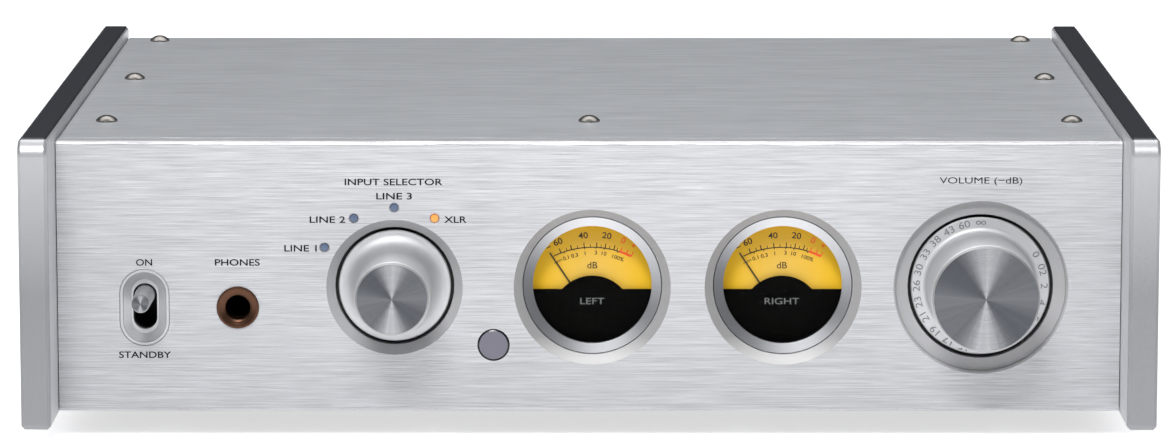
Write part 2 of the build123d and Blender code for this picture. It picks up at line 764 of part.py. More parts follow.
# ---- meters -------------------------------------------------------------------------------------
# Two moving-coil meters. Each: a polished bezel, a clear lens, a black cover over the pivot, a needle that
# swings over the dial, and a case that holds the magnet with its core. The coil turns in their gap.
bezel_front = meter_recess_depth + 0.1
bezel_slope = 1.2
bezel_inner_radius = meter_hole_radius - 2.7
bezel_lip_back = bezel_front + bezel_slope + 1.0
bezel_wall = 1.1
lens_radius = meter_barrel_radius - bezel_wall - 0.1
case_front = subpanel_back + 0.05
case_flange_radius = meter_hole_radius + 2.9
case_flange = 1.2
case_radius = meter_hole_radius - 0.6
case_wall = 1.2
case_inner_radius = case_radius - case_wall
case_back = 34.0
case_end = case_wall
cover_front = 8.5
cover_sheet = 0.7
needle_depth = 9.5
needle_thickness = 0.25
dial_front = 10.1
dial_sheet = 0.8
dial_radius = case_inner_radius - 0.1
pivot_drop = 8.9
hump_radius = 10.5
mask_drop = 1.9
needle_length = 19.8
needle_tail = 3.0
needle_width = 0.45
needle_rest = 34.0  # degrees left of upright
staff_radius = 0.7
staff_hole = 1.6
magnet_front = 12.5
magnet_length = 9.0
magnet_radius = 7.1
magnet_bore = 5.5
core_radius = 3.7
coil_outer = 5.0
coil_inner = 4.2
coil_width = 2.0
bridge_width = 2.0
pivot_z = row_z - pivot_drop

with BuildPart() as meter_bezels:
    for x in meter_xs:
        barrel_inner = meter_barrel_radius - bezel_wall
        outline = [
            (meter_barrel_radius, bezel_front + 0.2),
            (meter_barrel_radius - 0.2, bezel_front),
            (bezel_inner_radius, bezel_front + bezel_slope),
            (bezel_inner_radius, bezel_lip_back),
            (barrel_inner, bezel_lip_back),
            (barrel_inner, subpanel_back),
            (meter_barrel_radius, subpanel_back),
        ]
        add(turned(outline, x, row_z))
write(meter_bezels, "meter_bezels")

with BuildPart() as meter_lenses:
    for x in meter_xs:
        outline = [
            (0, bezel_lip_back),
            (lens_radius, bezel_lip_back),
            (lens_radius, subpanel_back),
            (0, subpanel_back),
        ]
        add(turned(outline, x, row_z))
write(meter_lenses, "meter_lenses")

with BuildPart() as meter_dials:
    with BuildSketch(front_plane(dial_front)):
        with Locations(*[(x, row_z) for x in meter_xs]):
            Circle(dial_radius)
        with Locations(*[(x, pivot_z) for x in meter_xs]):
            Circle(staff_hole, mode=Mode.SUBTRACT)
    extrude(amount=-dial_sheet)
write(meter_dials, "meter_dials")

with BuildPart() as meter_covers:
    for x in meter_xs:
        with BuildSketch(front_plane(cover_front)):
            with Locations((x, row_z)):
                Circle(dial_radius)
            with Locations((x, row_z - mask_drop)):
                above = (Align.CENTER, Align.MIN)
                Rectangle(2 * dial_radius, 2 * dial_radius, align=above, mode=Mode.SUBTRACT)
            with Locations((x, pivot_z)):
                Circle(hump_radius)
            with Locations((x, row_z)):
                Circle(dial_radius, mode=Mode.INTERSECT)
        extrude(amount=-cover_sheet)
write(meter_covers, "meter_covers")

with BuildPart() as meter_cases:
    for x in meter_xs:
        outline = [
            (case_inner_radius, case_front),
            (case_flange_radius, case_front),
            (case_flange_radius, case_front + case_flange),
            (case_radius, case_front + case_flange),
            (case_radius, case_back + case_end),
            (0, case_back + case_end),
            (0, case_back),
            (case_inner_radius, case_back),
        ]
        add(turned(outline, x, row_z))
    for x in meter_xs:
        with BuildSketch(front_plane(magnet_front)):
            with Locations((x, pivot_z)):
                Circle(magnet_radius)
                Circle(magnet_bore, mode=Mode.SUBTRACT)
        extrude(amount=-magnet_length)
        with BuildSketch(front_plane(magnet_front + 1.6)):
            with Locations((x, pivot_z)):
                Circle(core_radius)
                Circle(staff_radius + 0.3, mode=Mode.SUBTRACT)
        extrude(amount=-(magnet_length - 3.2))
        with BuildSketch(front_plane(magnet_front + 3)):
            with Locations((x, pivot_z)):
                with GridLocations(0, magnet_bore + core_radius, 1, 2):
                    Rectangle(bridge_width, magnet_bore - core_radius + 0.6)
        extrude(amount=-(magnet_length - 6))
        with BuildSketch(front_plane(magnet_front + magnet_length)):
            with Locations((x, pivot_z)):
                Circle(magnet_radius)
        extrude(amount=-(case_back - magnet_front - magnet_length))
write(meter_cases, "meter_cases")

for x, name in ((meter_left_x, "meter_needle_left"), (meter_right_x, "meter_needle_right")):
    across = (cos(radians(needle_rest)), 0, sin(radians(needle_rest)))
    swing = Plane(origin=(x, face_y + needle_depth, pivot_z), x_dir=across, z_dir=(0, -1, 0))
    with BuildPart() as needle:
        with BuildSketch(swing):
            with BuildLine():
                Polyline(
                    (-needle_width, -needle_tail),
                    (needle_width, -needle_tail),
                    (needle_width / 2, 0),
                    (needle_width / 2.6, needle_length),
                    (-needle_width / 2.6, needle_length),
                    (-needle_width / 2, 0),
                    close=True,
                )
            make_face()
            Circle(1.3)
        extrude(amount=-needle_thickness)
        with BuildSketch(swing):
            Circle(staff_radius)
        extrude(amount=-(magnet_front + magnet_length - 0.4 - needle_depth))
        coil_front = magnet_front + 0.5 - needle_depth
        coil_length = magnet_length - 1.0
        with BuildSketch(swing.offset(-coil_front)):
            with GridLocations(coil_outer + coil_inner, 0, 2, 1):
                Rectangle(coil_outer - coil_inner, coil_width)
        extrude(amount=-coil_length)
        with BuildSketch(swing.offset(-coil_front)):
            Rectangle(2 * coil_outer, coil_width)
        extrude(amount=-0.8)
        with BuildSketch(swing.offset(0.8 - coil_front - coil_length)):
            Rectangle(2 * coil_outer, coil_width)
        extrude(amount=-0.8)
    write(needle, name)

# ---- lamps, remote-control window and the small board behind them -------------------------------
# Clear light guides stand behind the dial's lamp holes; the board sits on the back of the encoder.
selector_board_depth = subpanel_back + encoder_depth
selector_board_left = -76.0
selector_board_right = -21.0
window_proud = 0.15
window_length = 3.0
receiver_size = 6.0
receiver_length = 5.5
lamp_end = selector_board_depth - 0.4

with BuildPart() as input_lamps:
    for x, z in lamp_places:
        add(turned([(0, 0), (lamp_radius, 0.1), (lamp_radius, lamp_end), (0, lamp_end)], x, z))
write(input_lamps, "input_lamps")

with BuildPart() as input_lamp_lit:
    x, z = lit_lamp_place
    add(turned([(0, 0), (lamp_radius, 0.1), (lamp_radius, lamp_end), (0, lamp_end)], x, z))
write(input_lamp_lit, "input_lamp_lit")

with BuildPart() as remote_window:
    rim = window_radius - 0.3
    seat_radius = window_radius + window_gap
    outline = [
        (0, -window_proud),
        (rim, -window_proud),
        (window_radius, 0),
        (window_radius, window_length),
        (seat_radius, window_length),
        (seat_radius, panel_thickness),
        (0, panel_thickness),
    ]
    add(turned(outline, window_x, window_z))
write(remote_window, "remote_window")

with BuildPart() as selector_board:
    with BuildSketch(front_plane(selector_board_depth)):
        with Locations(((selector_board_left + selector_board_right) / 2, row_z)):
            Rectangle(selector_board_right - selector_board_left, 50)
    extrude(amount=-board_thickness)
    with BuildSketch(front_plane(selector_board_depth + board_thickness)):
        with Locations((selector_x, row_z - 14)):
            Rectangle(20, 8)
        with Locations((selector_x, row_z + 14)):
            Rectangle(9, 9)
    extrude(amount=-3)
    with BuildSketch(front_plane(selector_board_depth)):
        with Locations((window_x, window_z)):
            Rectangle(receiver_size, receiver_size)
    extrude(amount=receiver_length)
    with BuildSketch(front_plane(selector_board_depth - receiver_length)):
        with Locations((window_x, window_z)):
            Circle(2.5)
    extrude(amount=1.8, taper=20)
write(selector_board, "selector_board")

# ---- mains transformer --------------------------------------------------------------------------
# A toroid on a rubber pad, held down by a dished plate and one long bolt through the tray.
toroid_radius = 45.0
toroid_bore = 15.0
toroid_height = 36.0
toroid_corner = 8.0
pad_sheet = 1.5
plate_sheet = 1.5
dish_radius = 26.0
toroid_base = tray_floor + pad_sheet
toroid_top = toroid_base + toroid_height
tx, ty = transformer_place

with BuildPart() as transformer_pads:
    for base in (tray_floor, toroid_top):
        reach = toroid_radius - 3 if base == tray_floor else dish_radius + 1
        outline = [
            (transformer_bolt_radius + fit_gap, base),
            (reach, base),
            (reach, base + pad_sheet),
            (transformer_bolt_radius + fit_gap, base + pad_sheet),
        ]
        add(turned_upright(outline, tx, ty))
write(transformer_pads, "transformer_pads")

with BuildPart() as transformer:
    with BuildSketch(Plane(origin=(tx, ty, 0), x_dir=(1, 0, 0), z_dir=(0, -1, 0))):
        with Locations(((toroid_radius + toroid_bore) / 2, toroid_base + toroid_height / 2)):
            RectangleRounded(toroid_radius - toroid_bore, toroid_height, toroid_corner)
    revolve(axis=Axis((tx, ty, 0), (0, 0, 1)))
write(transformer, "transformer")

with BuildPart() as transformer_clamp:
    low = toroid_top + pad_sheet
    outline = [
        (transformer_bolt_radius + fit_gap, low),
        (dish_radius - 1, low),
        (dish_radius, low + 2.5),
        (dish_radius, low + 2.5 + plate_sheet),
        (dish_radius - 1.5, low + 2.5 + plate_sheet),
        (dish_radius - 2.5, low + plate_sheet),
        (transformer_bolt_radius + fit_gap, low + plate_sheet),
    ]
    add(turned_upright(outline, tx, ty))
    bolt_seat = low + plate_sheet
    outline = [
        (0, tray_floor - 1),
        (transformer_bolt_radius, tray_floor - 1),
        (transformer_bolt_radius, bolt_seat + 3),
        (0, bolt_seat + 3),
    ]
    add(turned_upright(outline, tx, ty))
    with BuildSketch(Plane.XY.offset(bolt_seat)):
        with Locations(transformer_place):
            RegularPolygon(5.5, 6)
    extrude(amount=4)
write(transformer_clamp, "transformer_clamp")

# ---- boards on the tray -------------------------------------------------------------------------
board_z = tray_floor + standoff_height
board_top = board_z + board_thickness
part_gap = 0.2  # solder gap under the parts on a board

capacitor_radius = 11.0
capacitor_height = 35.0
capacitor_places = [(x, y) for x in (-13, 11) for y in (-30, -4, 22)]

with BuildPart() as reservoir_capacitors:
    with Locations(*[(x, y, board_top + part_gap) for x, y in capacitor_places]):
        Cylinder(capacitor_radius, capacitor_height, align=(Align.CENTER, Align.CENTER, Align.MIN))
    fillet(reservoir_capacitors.edges().filter_by(GeomType.CIRCLE).group_by(Axis.Z)[-1], radius=1.2)
    fillet(reservoir_capacitors.edges().filter_by(GeomType.CIRCLE).group_by(Axis.Z)[0], radius=0.8)
write(reservoir_capacitors, "reservoir_capacitors")

fuse_y = 50.0
board_margin = 4.0
supply_xs = sorted({x for x, y in power_board_places})
supply_ys = sorted({y for x, y in power_board_places})
supply_centre = (sum(supply_xs) / 2, sum(supply_ys) / 2)
supply_width = supply_xs[1] - supply_xs[0] + 2 * board_margin
supply_length = supply_ys[1] - supply_ys[0] + 2 * board_margin

with BuildPart() as power_supply_board:
    with BuildSketch(Plane.XY.offset(board_z)):
        with Locations(supply_centre):
            Rectangle(supply_width, supply_length)
        with Locations(*power_board_places):
            Circle(drill, mode=Mode.SUBTRACT)
    extrude(amount=board_thickness)
    with BuildSketch(Plane.XY.offset(board_top + part_gap)):
        with Locations((-13, fuse_y)):
            Rectangle(20, 8)
        with Locations((11, fuse_y)):
            Rectangle(14, 17)
    extrude(amount=9)
    with BuildSketch(Plane.XY.offset(board_top + part_gap)):
        with Locations((-1, 38)):
            Rectangle(20, 4)
    extrude(amount=16)
write(power_supply_board, "power_supply_board")

sink_x = 82.0
sink_y = 13.0
sink_length = 84.0
sink_depth = 26.0
sink_height = 34.0
sink_web = 4.0
fin_thickness = 1.6
fin_count = 13
fin_pitch = (sink_length - fin_thickness) / (fin_count - 1)
sink_base = board_top + part_gap

with BuildPart() as heat_sink:
    with BuildSketch(Plane.XY.offset(sink_base)):
        with Locations((sink_x, sink_y - (sink_depth - sink_web) / 2)):
            Rectangle(sink_length, sink_web)
        with Locations((sink_x, sink_y + sink_web / 2)):
            with GridLocations(fin_pitch, 0, fin_count, 1):
                Rectangle(fin_thickness, sink_depth - sink_web)
    extrude(amount=sink_height)
write(heat_sink, "heat_sink")

module_thickness = 4.0
stage_xs = sorted({x for x, y in amplifier_board_places})
stage_ys = sorted({y for x, y in amplifier_board_places})
stage_centre = (sum(stage_xs) / 2, sum(stage_ys) / 2)
stage_width = stage_xs[1] - stage_xs[0] + 2 * board_margin
stage_length = stage_ys[1] - stage_ys[0] + 2 * board_margin

with BuildPart() as amplifier_board:
    with BuildSketch(Plane.XY.offset(board_z)):
        with Locations(stage_centre):
            Rectangle(stage_width, stage_length)
        with Locations(*amplifier_board_places):
            Circle(drill, mode=Mode.SUBTRACT)
    extrude(amount=board_thickness)
    with BuildSketch(Plane.XY.offset(sink_base)):
        with Locations((sink_x, sink_y - sink_depth / 2 - module_thickness / 2)):
            with GridLocations(42, 0, 2, 1):
                Rectangle(24, module_thickness)
    extrude(amount=22)
    with BuildSketch(Plane.XY.offset(board_top + part_gap)):
        with Locations((sink_x, 44)):
            with GridLocations(24, 18, 4, 2):
                Rectangle(13, 13)
    extrude(amount=11)
    with BuildSketch(Plane.XY.offset(board_top + part_gap)):
        with Locations((sink_x, -25)):
            with GridLocations(17, 0, 5, 1):
                Rectangle(10, 6)
    extrude(amount=5)
write(amplifier_board, "amplifier_board")

# ---- mains inlet --------------------------------------------------------------------------------
# A three-pin chassis inlet screwed to the rear panel.
inlet_flange_width = 50.0
inlet_flange_height = 24.0
inlet_flange = 2.8
inlet_depth = 20.0
inlet_cavity_width = 24.2
inlet_cavity_height = 16.4
inlet_cavity_depth = 17.0
inlet_front = rear_face_y + inlet_flange
pin_width = 2.0
pin_height = 4.0
pin_offset = 2.0
pin_gap = 7.0

with BuildPart() as mains_inlet:
    with BuildSketch(rear_plane(inlet_front)):
        with Locations((inlet_x, inlet_z)):
            RectangleRounded(inlet_flange_width, inlet_flange_height, 4.0)
            with GridLocations(inlet_screw_spacing, 0, 2, 1):
                Circle(drill, mode=Mode.SUBTRACT)
    extrude(amount=inlet_flange)
    with BuildSketch(rear_plane(rear_face_y)):
        with Locations((inlet_x, inlet_z)):
            Rectangle(inlet_body_width, inlet_body_height)
    extrude(amount=inlet_depth)
    with BuildSketch(rear_plane(inlet_front)):
        with Locations((inlet_x, inlet_z)):
            Rectangle(inlet_cavity_width, inlet_cavity_height)
    extrude(amount=inlet_cavity_depth, mode=Mode.SUBTRACT)
    with BuildSketch(rear_plane(inlet_front - inlet_cavity_depth)):
        with Locations(
            (inlet_x, inlet_z + pin_offset),
            (inlet_x - pin_gap, inlet_z - pin_offset),
            (inlet_x + pin_gap, inlet_z - pin_offset),
        ):
            Rectangle(pin_width + 2 * fit_gap, pin_height + 2 * fit_gap)
    extrude(amount=inlet_depth, mode=Mode.SUBTRACT)
write(mains_inlet, "mains_inlet")

with BuildPart() as inlet_pins:
    with BuildSketch(rear_plane(inlet_front - 1.5)):
        with Locations(
            (inlet_x, inlet_z + pin_offset),
            (inlet_x - pin_gap, inlet_z - pin_offset),
            (inlet_x + pin_gap, inlet_z - pin_offset),
        ):
            Rectangle(pin_width, pin_height)
    extrude(amount=inlet_depth + inlet_flange + 4)
write(inlet_pins, "inlet_pins")

# ---- speaker posts ------------------------------------------------------------------------------
# Four binding posts: a moulded base, a metal stem with a wire hole and a plug bore, and a screw-down cap.
post_tip = rear_y + rear_reach
post_base_radius = 8.4
post_base_height = 4.0
post_spigot_radius = post_stem_radius + 1.2 - fit_gap
post_clamp = 3.0
cap_radius = 7.2
cap_gap = 0.3
cap_travel = 4.0
cap_bore = post_stem_radius + 0.05
banana_bore = 2.05
banana_depth = 17.0
stem_tip = post_tip - 0.6
wire_hole_radius = 1.5
wire_hole_y = rear_face_y + post_base_height + 3.0
cap_seat = rear_face_y + post_base_height + cap_gap
post_names = ("left_plus", "left_minus", "right_minus", "right_plus")

with BuildPart() as post_insulators:
    for x in post_xs:
        outline = [
            (post_stem_radius + fit_gap, rear_panel_y - post_clamp),
            (post_base_radius - 1.5, rear_panel_y - post_clamp),
            (post_base_radius - 1.5, rear_panel_y),
            (post_spigot_radius, rear_panel_y),
            (post_spigot_radius, rear_face_y),
            (post_base_radius, rear_face_y),
            (post_base_radius, rear_face_y + post_base_height - 1),
            (post_base_radius - 1, rear_face_y + post_base_height),
            (post_stem_radius + fit_gap, rear_face_y + post_base_height),
        ]
        add(turned(outline, x, post_z, 0))
write(post_insulators, "post_insulators")

with BuildPart() as post_stems:
    for x in post_xs:
        nut_back = rear_panel_y - post_clamp
        outline = [
            (0, nut_back - 9),
            (2.0, nut_back - 9),
            (2.0, nut_back - 3),
            (5.0, nut_back - 3),
            (5.0, nut_back),
            (post_stem_radius, nut_back),
            (post_stem_radius, stem_tip - 0.4),
            (post_stem_radius - 0.4, stem_tip),
            (banana_bore, stem_tip),
            (banana_bore, stem_tip - banana_depth),
            (0, stem_tip - banana_depth),
        ]
        add(turned(outline, x, post_z, 0))
    with BuildSketch(Plane.XY.offset(post_z - post_stem_radius - 1)):
        with Locations(*[(x, wire_hole_y) for x in post_xs]):
            Circle(wire_hole_radius)
    extrude(amount=2 * post_stem_radius + 2, mode=Mode.SUBTRACT)
write(post_stems, "post_stems")

flute_count = 18
for x, side in zip(post_xs, post_names):
    with BuildPart() as cap:
        outline = [
            (cap_bore, cap_seat),
            (cap_radius - 0.8, cap_seat),
            (cap_radius, cap_seat + 0.8),
            (cap_radius, post_tip - 1.2),
            (cap_radius - 1.2, post_tip),
            (cap_bore, post_tip),
        ]
        add(turned(outline, x, post_z, 0))
        with BuildSketch(rear_plane(post_tip)):
            with Locations((x, post_z)):
                with PolarLocations(cap_radius + 0.35, flute_count):
                    Circle(0.7)
        extrude(amount=post_tip - cap_seat - 3.5, mode=Mode.SUBTRACT)
    write(cap, f"post_cap_{side}")

# ---- balanced sockets ---------------------------------------------------------------------------
# Two three-pole latching sockets, each with a push tab that lets the plug go.
xlr_flange_width = 26.0
xlr_flange_height = 31.0
xlr_flange = 2.0
xlr_well_radius = 9.7
xlr_insert_radius = 7.9
xlr_well_depth = 13.0
xlr_body_back = rear_panel_y - 13.7
xlr_front = rear_face_y + xlr_flange
xlr_pole_radius = 1.4
xlr_pole_circle = 3.9
tab_width = 7.0
tab_height = 3.6
tab_offset = 12.5
tab_proud = 1.8
tab_sink = 1.5
tab_clearance = 0.3
tab_travel = 1.2

with BuildPart() as xlr_sockets:
    with BuildSketch(rear_plane(xlr_front)):
        with Locations(*[(x, xlr_z) for x in xlr_xs]):
            RectangleRounded(xlr_flange_width, xlr_flange_height, 3.0)
        with Locations(*[(x + dx, xlr_z + dz) for x in xlr_xs for dx, dz in xlr_screw_spots]):
            Circle(drill, mode=Mode.SUBTRACT)
    extrude(amount=xlr_flange)
    with BuildSketch(rear_plane(rear_face_y)):
        with Locations(*[(x, xlr_z) for x in xlr_xs]):
            Circle(xlr_body_radius)
    extrude(amount=rear_face_y - xlr_body_back)
    with BuildSketch(rear_plane(xlr_front)):
        with Locations(*[(x, xlr_z) for x in xlr_xs]):
            Circle(xlr_well_radius)
    extrude(amount=xlr_well_depth, mode=Mode.SUBTRACT)
    with BuildSketch(rear_plane(xlr_front)):
        with Locations(*[(x, xlr_z + tab_offset) for x in xlr_xs]):
            Rectangle(tab_width + 2 * tab_clearance, tab_height + 2 * tab_clearance)
    extrude(amount=xlr_flange, mode=Mode.SUBTRACT)
write(xlr_sockets, "xlr_sockets")

with BuildPart() as xlr_inserts:
    with BuildSketch(rear_plane(xlr_front)):
        for x in xlr_xs:
            with Locations((x, xlr_z)):
                Circle(xlr_insert_radius)
                with PolarLocations(xlr_pole_circle, 3, start_angle=90):
                    Circle(xlr_pole_radius, mode=Mode.SUBTRACT)
    extrude(amount=xlr_well_depth)
write(xlr_inserts, "xlr_inserts")

for x, name in zip(xlr_xs, ("xlr_latch_left", "xlr_latch_right")):
    with BuildPart() as latch:
        with BuildSketch(rear_plane(xlr_front + tab_proud)):
            with Locations((x, xlr_z + tab_offset)):
                Rectangle(tab_width, tab_height)
        extrude(amount=tab_proud + tab_sink - tab_travel)
        chamfer(latch.faces().sort_by(Axis.Y)[-1].edges(), length=0.4)
    write(latch, name)

# ---- line sockets -------------------------------------------------------------------------------
# Three stereo pairs of phono sockets: plated barrels in one moulded block, the left channel above.
rca_proud = 9.0
rca_bore = 3.3
rca_contact_radius = 1.6
rca_contact_depth = 10.0
rca_collar_radius = 5.6
rca_collar = 1.6
rca_block_depth = 13.7
rca_block_width = rca_xs[-1] - rca_xs[0] + 11.5
rca_block_height = rca_zs[-1] - rca_zs[0] + 14
rca_block_back = rear_panel_y - rca_block_depth

with BuildPart() as rca_barrels:
    for x, z in rca_places:
        outline = [
            (rca_bore, rear_panel_y - 3),
            (rca_barrel_radius, rear_panel_y - 3),
            (rca_barrel_radius, rear_face_y),
            (rca_collar_radius, rear_face_y),
            (rca_collar_radius, rear_face_y + rca_collar),
            (rca_barrel_radius, rear_face_y + rca_collar),
            (rca_barrel_radius, rear_face_y + rca_proud - 0.4),
            (rca_barrel_radius - 0.4, rear_face_y + rca_proud),
            (rca_bore, rear_face_y + rca_proud),
        ]
        add(turned(outline, x, z, 0))
write(rca_barrels, "rca_barrels")

for z, name in ((rca_zs[1], "rca_inserts_left"), (rca_zs[0], "rca_inserts_right")):
    with BuildPart() as inserts:
        for x in rca_xs:
            outline = [
                (0, rear_panel_y - 3),
                (rca_bore - fit_gap, rear_panel_y - 3),
                (rca_bore - fit_gap, rear_face_y + rca_proud - 0.3),
                (rca_contact_radius, rear_face_y + rca_proud - 0.3),
                (rca_contact_radius, rear_face_y + rca_proud - rca_contact_depth),
                (0, rear_face_y + rca_proud - rca_contact_depth),
            ]
            add(turned(outline, x, z, 0))
    write(inserts, name)

input_board_left = 24.0
input_board_right = 124.0
with BuildPart() as input_board:
    with BuildSketch(rear_plane(rear_panel_y)):
        with Locations(((rca_xs[0] + rca_xs[-1]) / 2, (rca_zs[0] + rca_zs[-1]) / 2)):
            RectangleRounded(rca_block_width, rca_block_height, 1.0)
    extrude(amount=rca_block_depth)
    with BuildSketch(rear_plane(rear_panel_y)):
        with Locations(*rca_places):
            Circle(rca_barrel_radius + fit_gap)
    extrude(amount=3.1, mode=Mode.SUBTRACT)
    with BuildSketch(rear_plane(rca_block_back)):
        with Locations(((input_board_left + input_board_right) / 2, xlr_z)):
            Rectangle(input_board_right - input_board_left, 50)
    extrude(amount=board_thickness)
    with BuildSketch(rear_plane(rca_block_back - board_thickness)):
        with Locations((xlr_xs[0], xlr_z), (xlr_xs[1], xlr_z), (103, xlr_z + 12), (103, xlr_z - 12)):
            Rectangle(16, 10)
    extrude(amount=3.5)
write(input_board, "input_board")

# ---- screws that hold it together ---------------------------------------------------------------
side_wall_x = inner_width / 2 - tray_sheet
subpanel_back_y = panel_back_y + subpanel_sheet

with BuildPart() as side_plate_screws:
    for side in (-1, 1):
        seats = [Plane((side * side_wall_x, y, side_screw_z), z_dir=(-side, 0, 0)) for y in side_screw_ys]
        with Locations(*seats):
            add(pan_screw.part)
write(side_plate_screws, "side_plate_screws")

rear_seats = [(x, rear_face_y, z) for x, z in rear_screw_places]
rear_seats += [(inlet_x + side * inlet_screw_spacing / 2, inlet_front, inlet_z) for side in (-1, 1)]
rear_seats += [(x + dx, xlr_front, xlr_z + dz) for x in xlr_xs for dx, dz in xlr_screw_spots]
with BuildPart() as rear_panel_screws:
    with Locations(*[Plane(seat, z_dir=(0, 1, 0)) for seat in rear_seats]):
        add(pan_screw.part)
write(rear_panel_screws, "rear_panel_screws")

board_screw_length = 3.0
board_screw_top = board_top + pan_height
standoff_bore_depth = board_screw_length + 1.0
foot_tab_y = panel_back_y + subpanel_flange / 2 + 1
with BuildPart() as chassis_fixings:
    with BuildSketch(Plane.XY.offset(tray_floor)):
        with Locations(*standoff_places):
            RegularPolygon(standoff_radius, 6)
    extrude(amount=standoff_height)
    with BuildSketch(Plane.XY.offset(board_z)):
        with Locations(*standoff_places):
            Circle(drill)
    extrude(amount=-standoff_bore_depth, mode=Mode.SUBTRACT)
    with Locations(*[Plane((x, subpanel_back_y, z), z_dir=(0, 1, 0)) for x, z in panel_screw_places]):
        add(pan_screw.part)
    with Locations(*[Plane((x, foot_tab_y, tray_bottom), z_dir=(0, 0, -1)) for x in subpanel_foot_xs]):
        add(pan_screw.part)
    for x, y in standoff_places:
        outline = [
            (0, board_top - board_screw_length),
            (thread_radius, board_top - board_screw_length),
            (thread_radius, board_top),
            (pan_radius, board_top),
            (pan_radius, board_screw_top - 0.6),
            (pan_radius - 0.6, board_screw_top),
            (0, board_screw_top),
        ]
        add(turned_upright(outline, x, y))
write(chassis_fixings, "chassis_fixings")
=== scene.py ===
from math import cos, pi, radians, sin

import bpy
from mathutils import Euler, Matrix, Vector


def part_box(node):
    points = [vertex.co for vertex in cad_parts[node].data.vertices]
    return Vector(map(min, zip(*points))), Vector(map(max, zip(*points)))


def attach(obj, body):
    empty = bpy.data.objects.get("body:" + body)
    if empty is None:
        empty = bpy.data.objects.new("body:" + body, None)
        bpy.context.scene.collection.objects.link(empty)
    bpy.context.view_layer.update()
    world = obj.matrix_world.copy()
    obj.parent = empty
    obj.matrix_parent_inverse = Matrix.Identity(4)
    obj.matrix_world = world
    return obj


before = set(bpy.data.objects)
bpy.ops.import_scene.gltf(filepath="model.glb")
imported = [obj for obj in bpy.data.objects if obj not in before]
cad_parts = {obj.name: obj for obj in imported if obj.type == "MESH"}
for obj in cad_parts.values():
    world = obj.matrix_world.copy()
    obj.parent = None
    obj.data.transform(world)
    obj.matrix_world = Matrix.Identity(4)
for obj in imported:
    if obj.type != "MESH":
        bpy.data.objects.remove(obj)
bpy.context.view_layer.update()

# ---- side plates --------------------------------------------------------------------------------
# Two slabs of aluminium, milled and bevelled, then blasted with fine glass beads and clear anodised.
# They are screwed on from inside, so nothing shows on their outer faces. All sizes here are in metres.
mm = 0.001


class Field:
    """A value that varies over a surface: a shader socket on which arithmetic adds Math nodes."""

    def __init__(self, finish, socket):
        self.finish = finish
        self.socket = socket

    def maths(self, operation, *values):
        return self.finish.node("ShaderNodeMath", {"operation": operation}, dict(enumerate(values)))

    def __add__(self, other):
        return self.maths("ADD", self, other)

    def __radd__(self, other):
        return self.maths("ADD", other, self)

    def __sub__(self, other):
        return self.maths("SUBTRACT", self, other)

    def __rsub__(self, other):
        return self.maths("SUBTRACT", other, self)

    def __mul__(self, other):
        return self.maths("MULTIPLY", self, other)

    def __rmul__(self, other):
        return self.maths("MULTIPLY", other, self)

    def __truediv__(self, other):
        return self.maths("DIVIDE", self, other)

    def __pow__(self, other):
        return self.maths("POWER", self, other)

    def __abs__(self):
        return self.maths("ABSOLUTE", self)

    def __gt__(self, other):
        return self.maths("GREATER_THAN", self, other)

    def __lt__(self, other):
        return self.maths("LESS_THAN", self, other)

    def held(self):
        """The value kept between nought and one."""
        return self.maths("MAXIMUM", self.maths("MINIMUM", self, 1.0), 0.0)


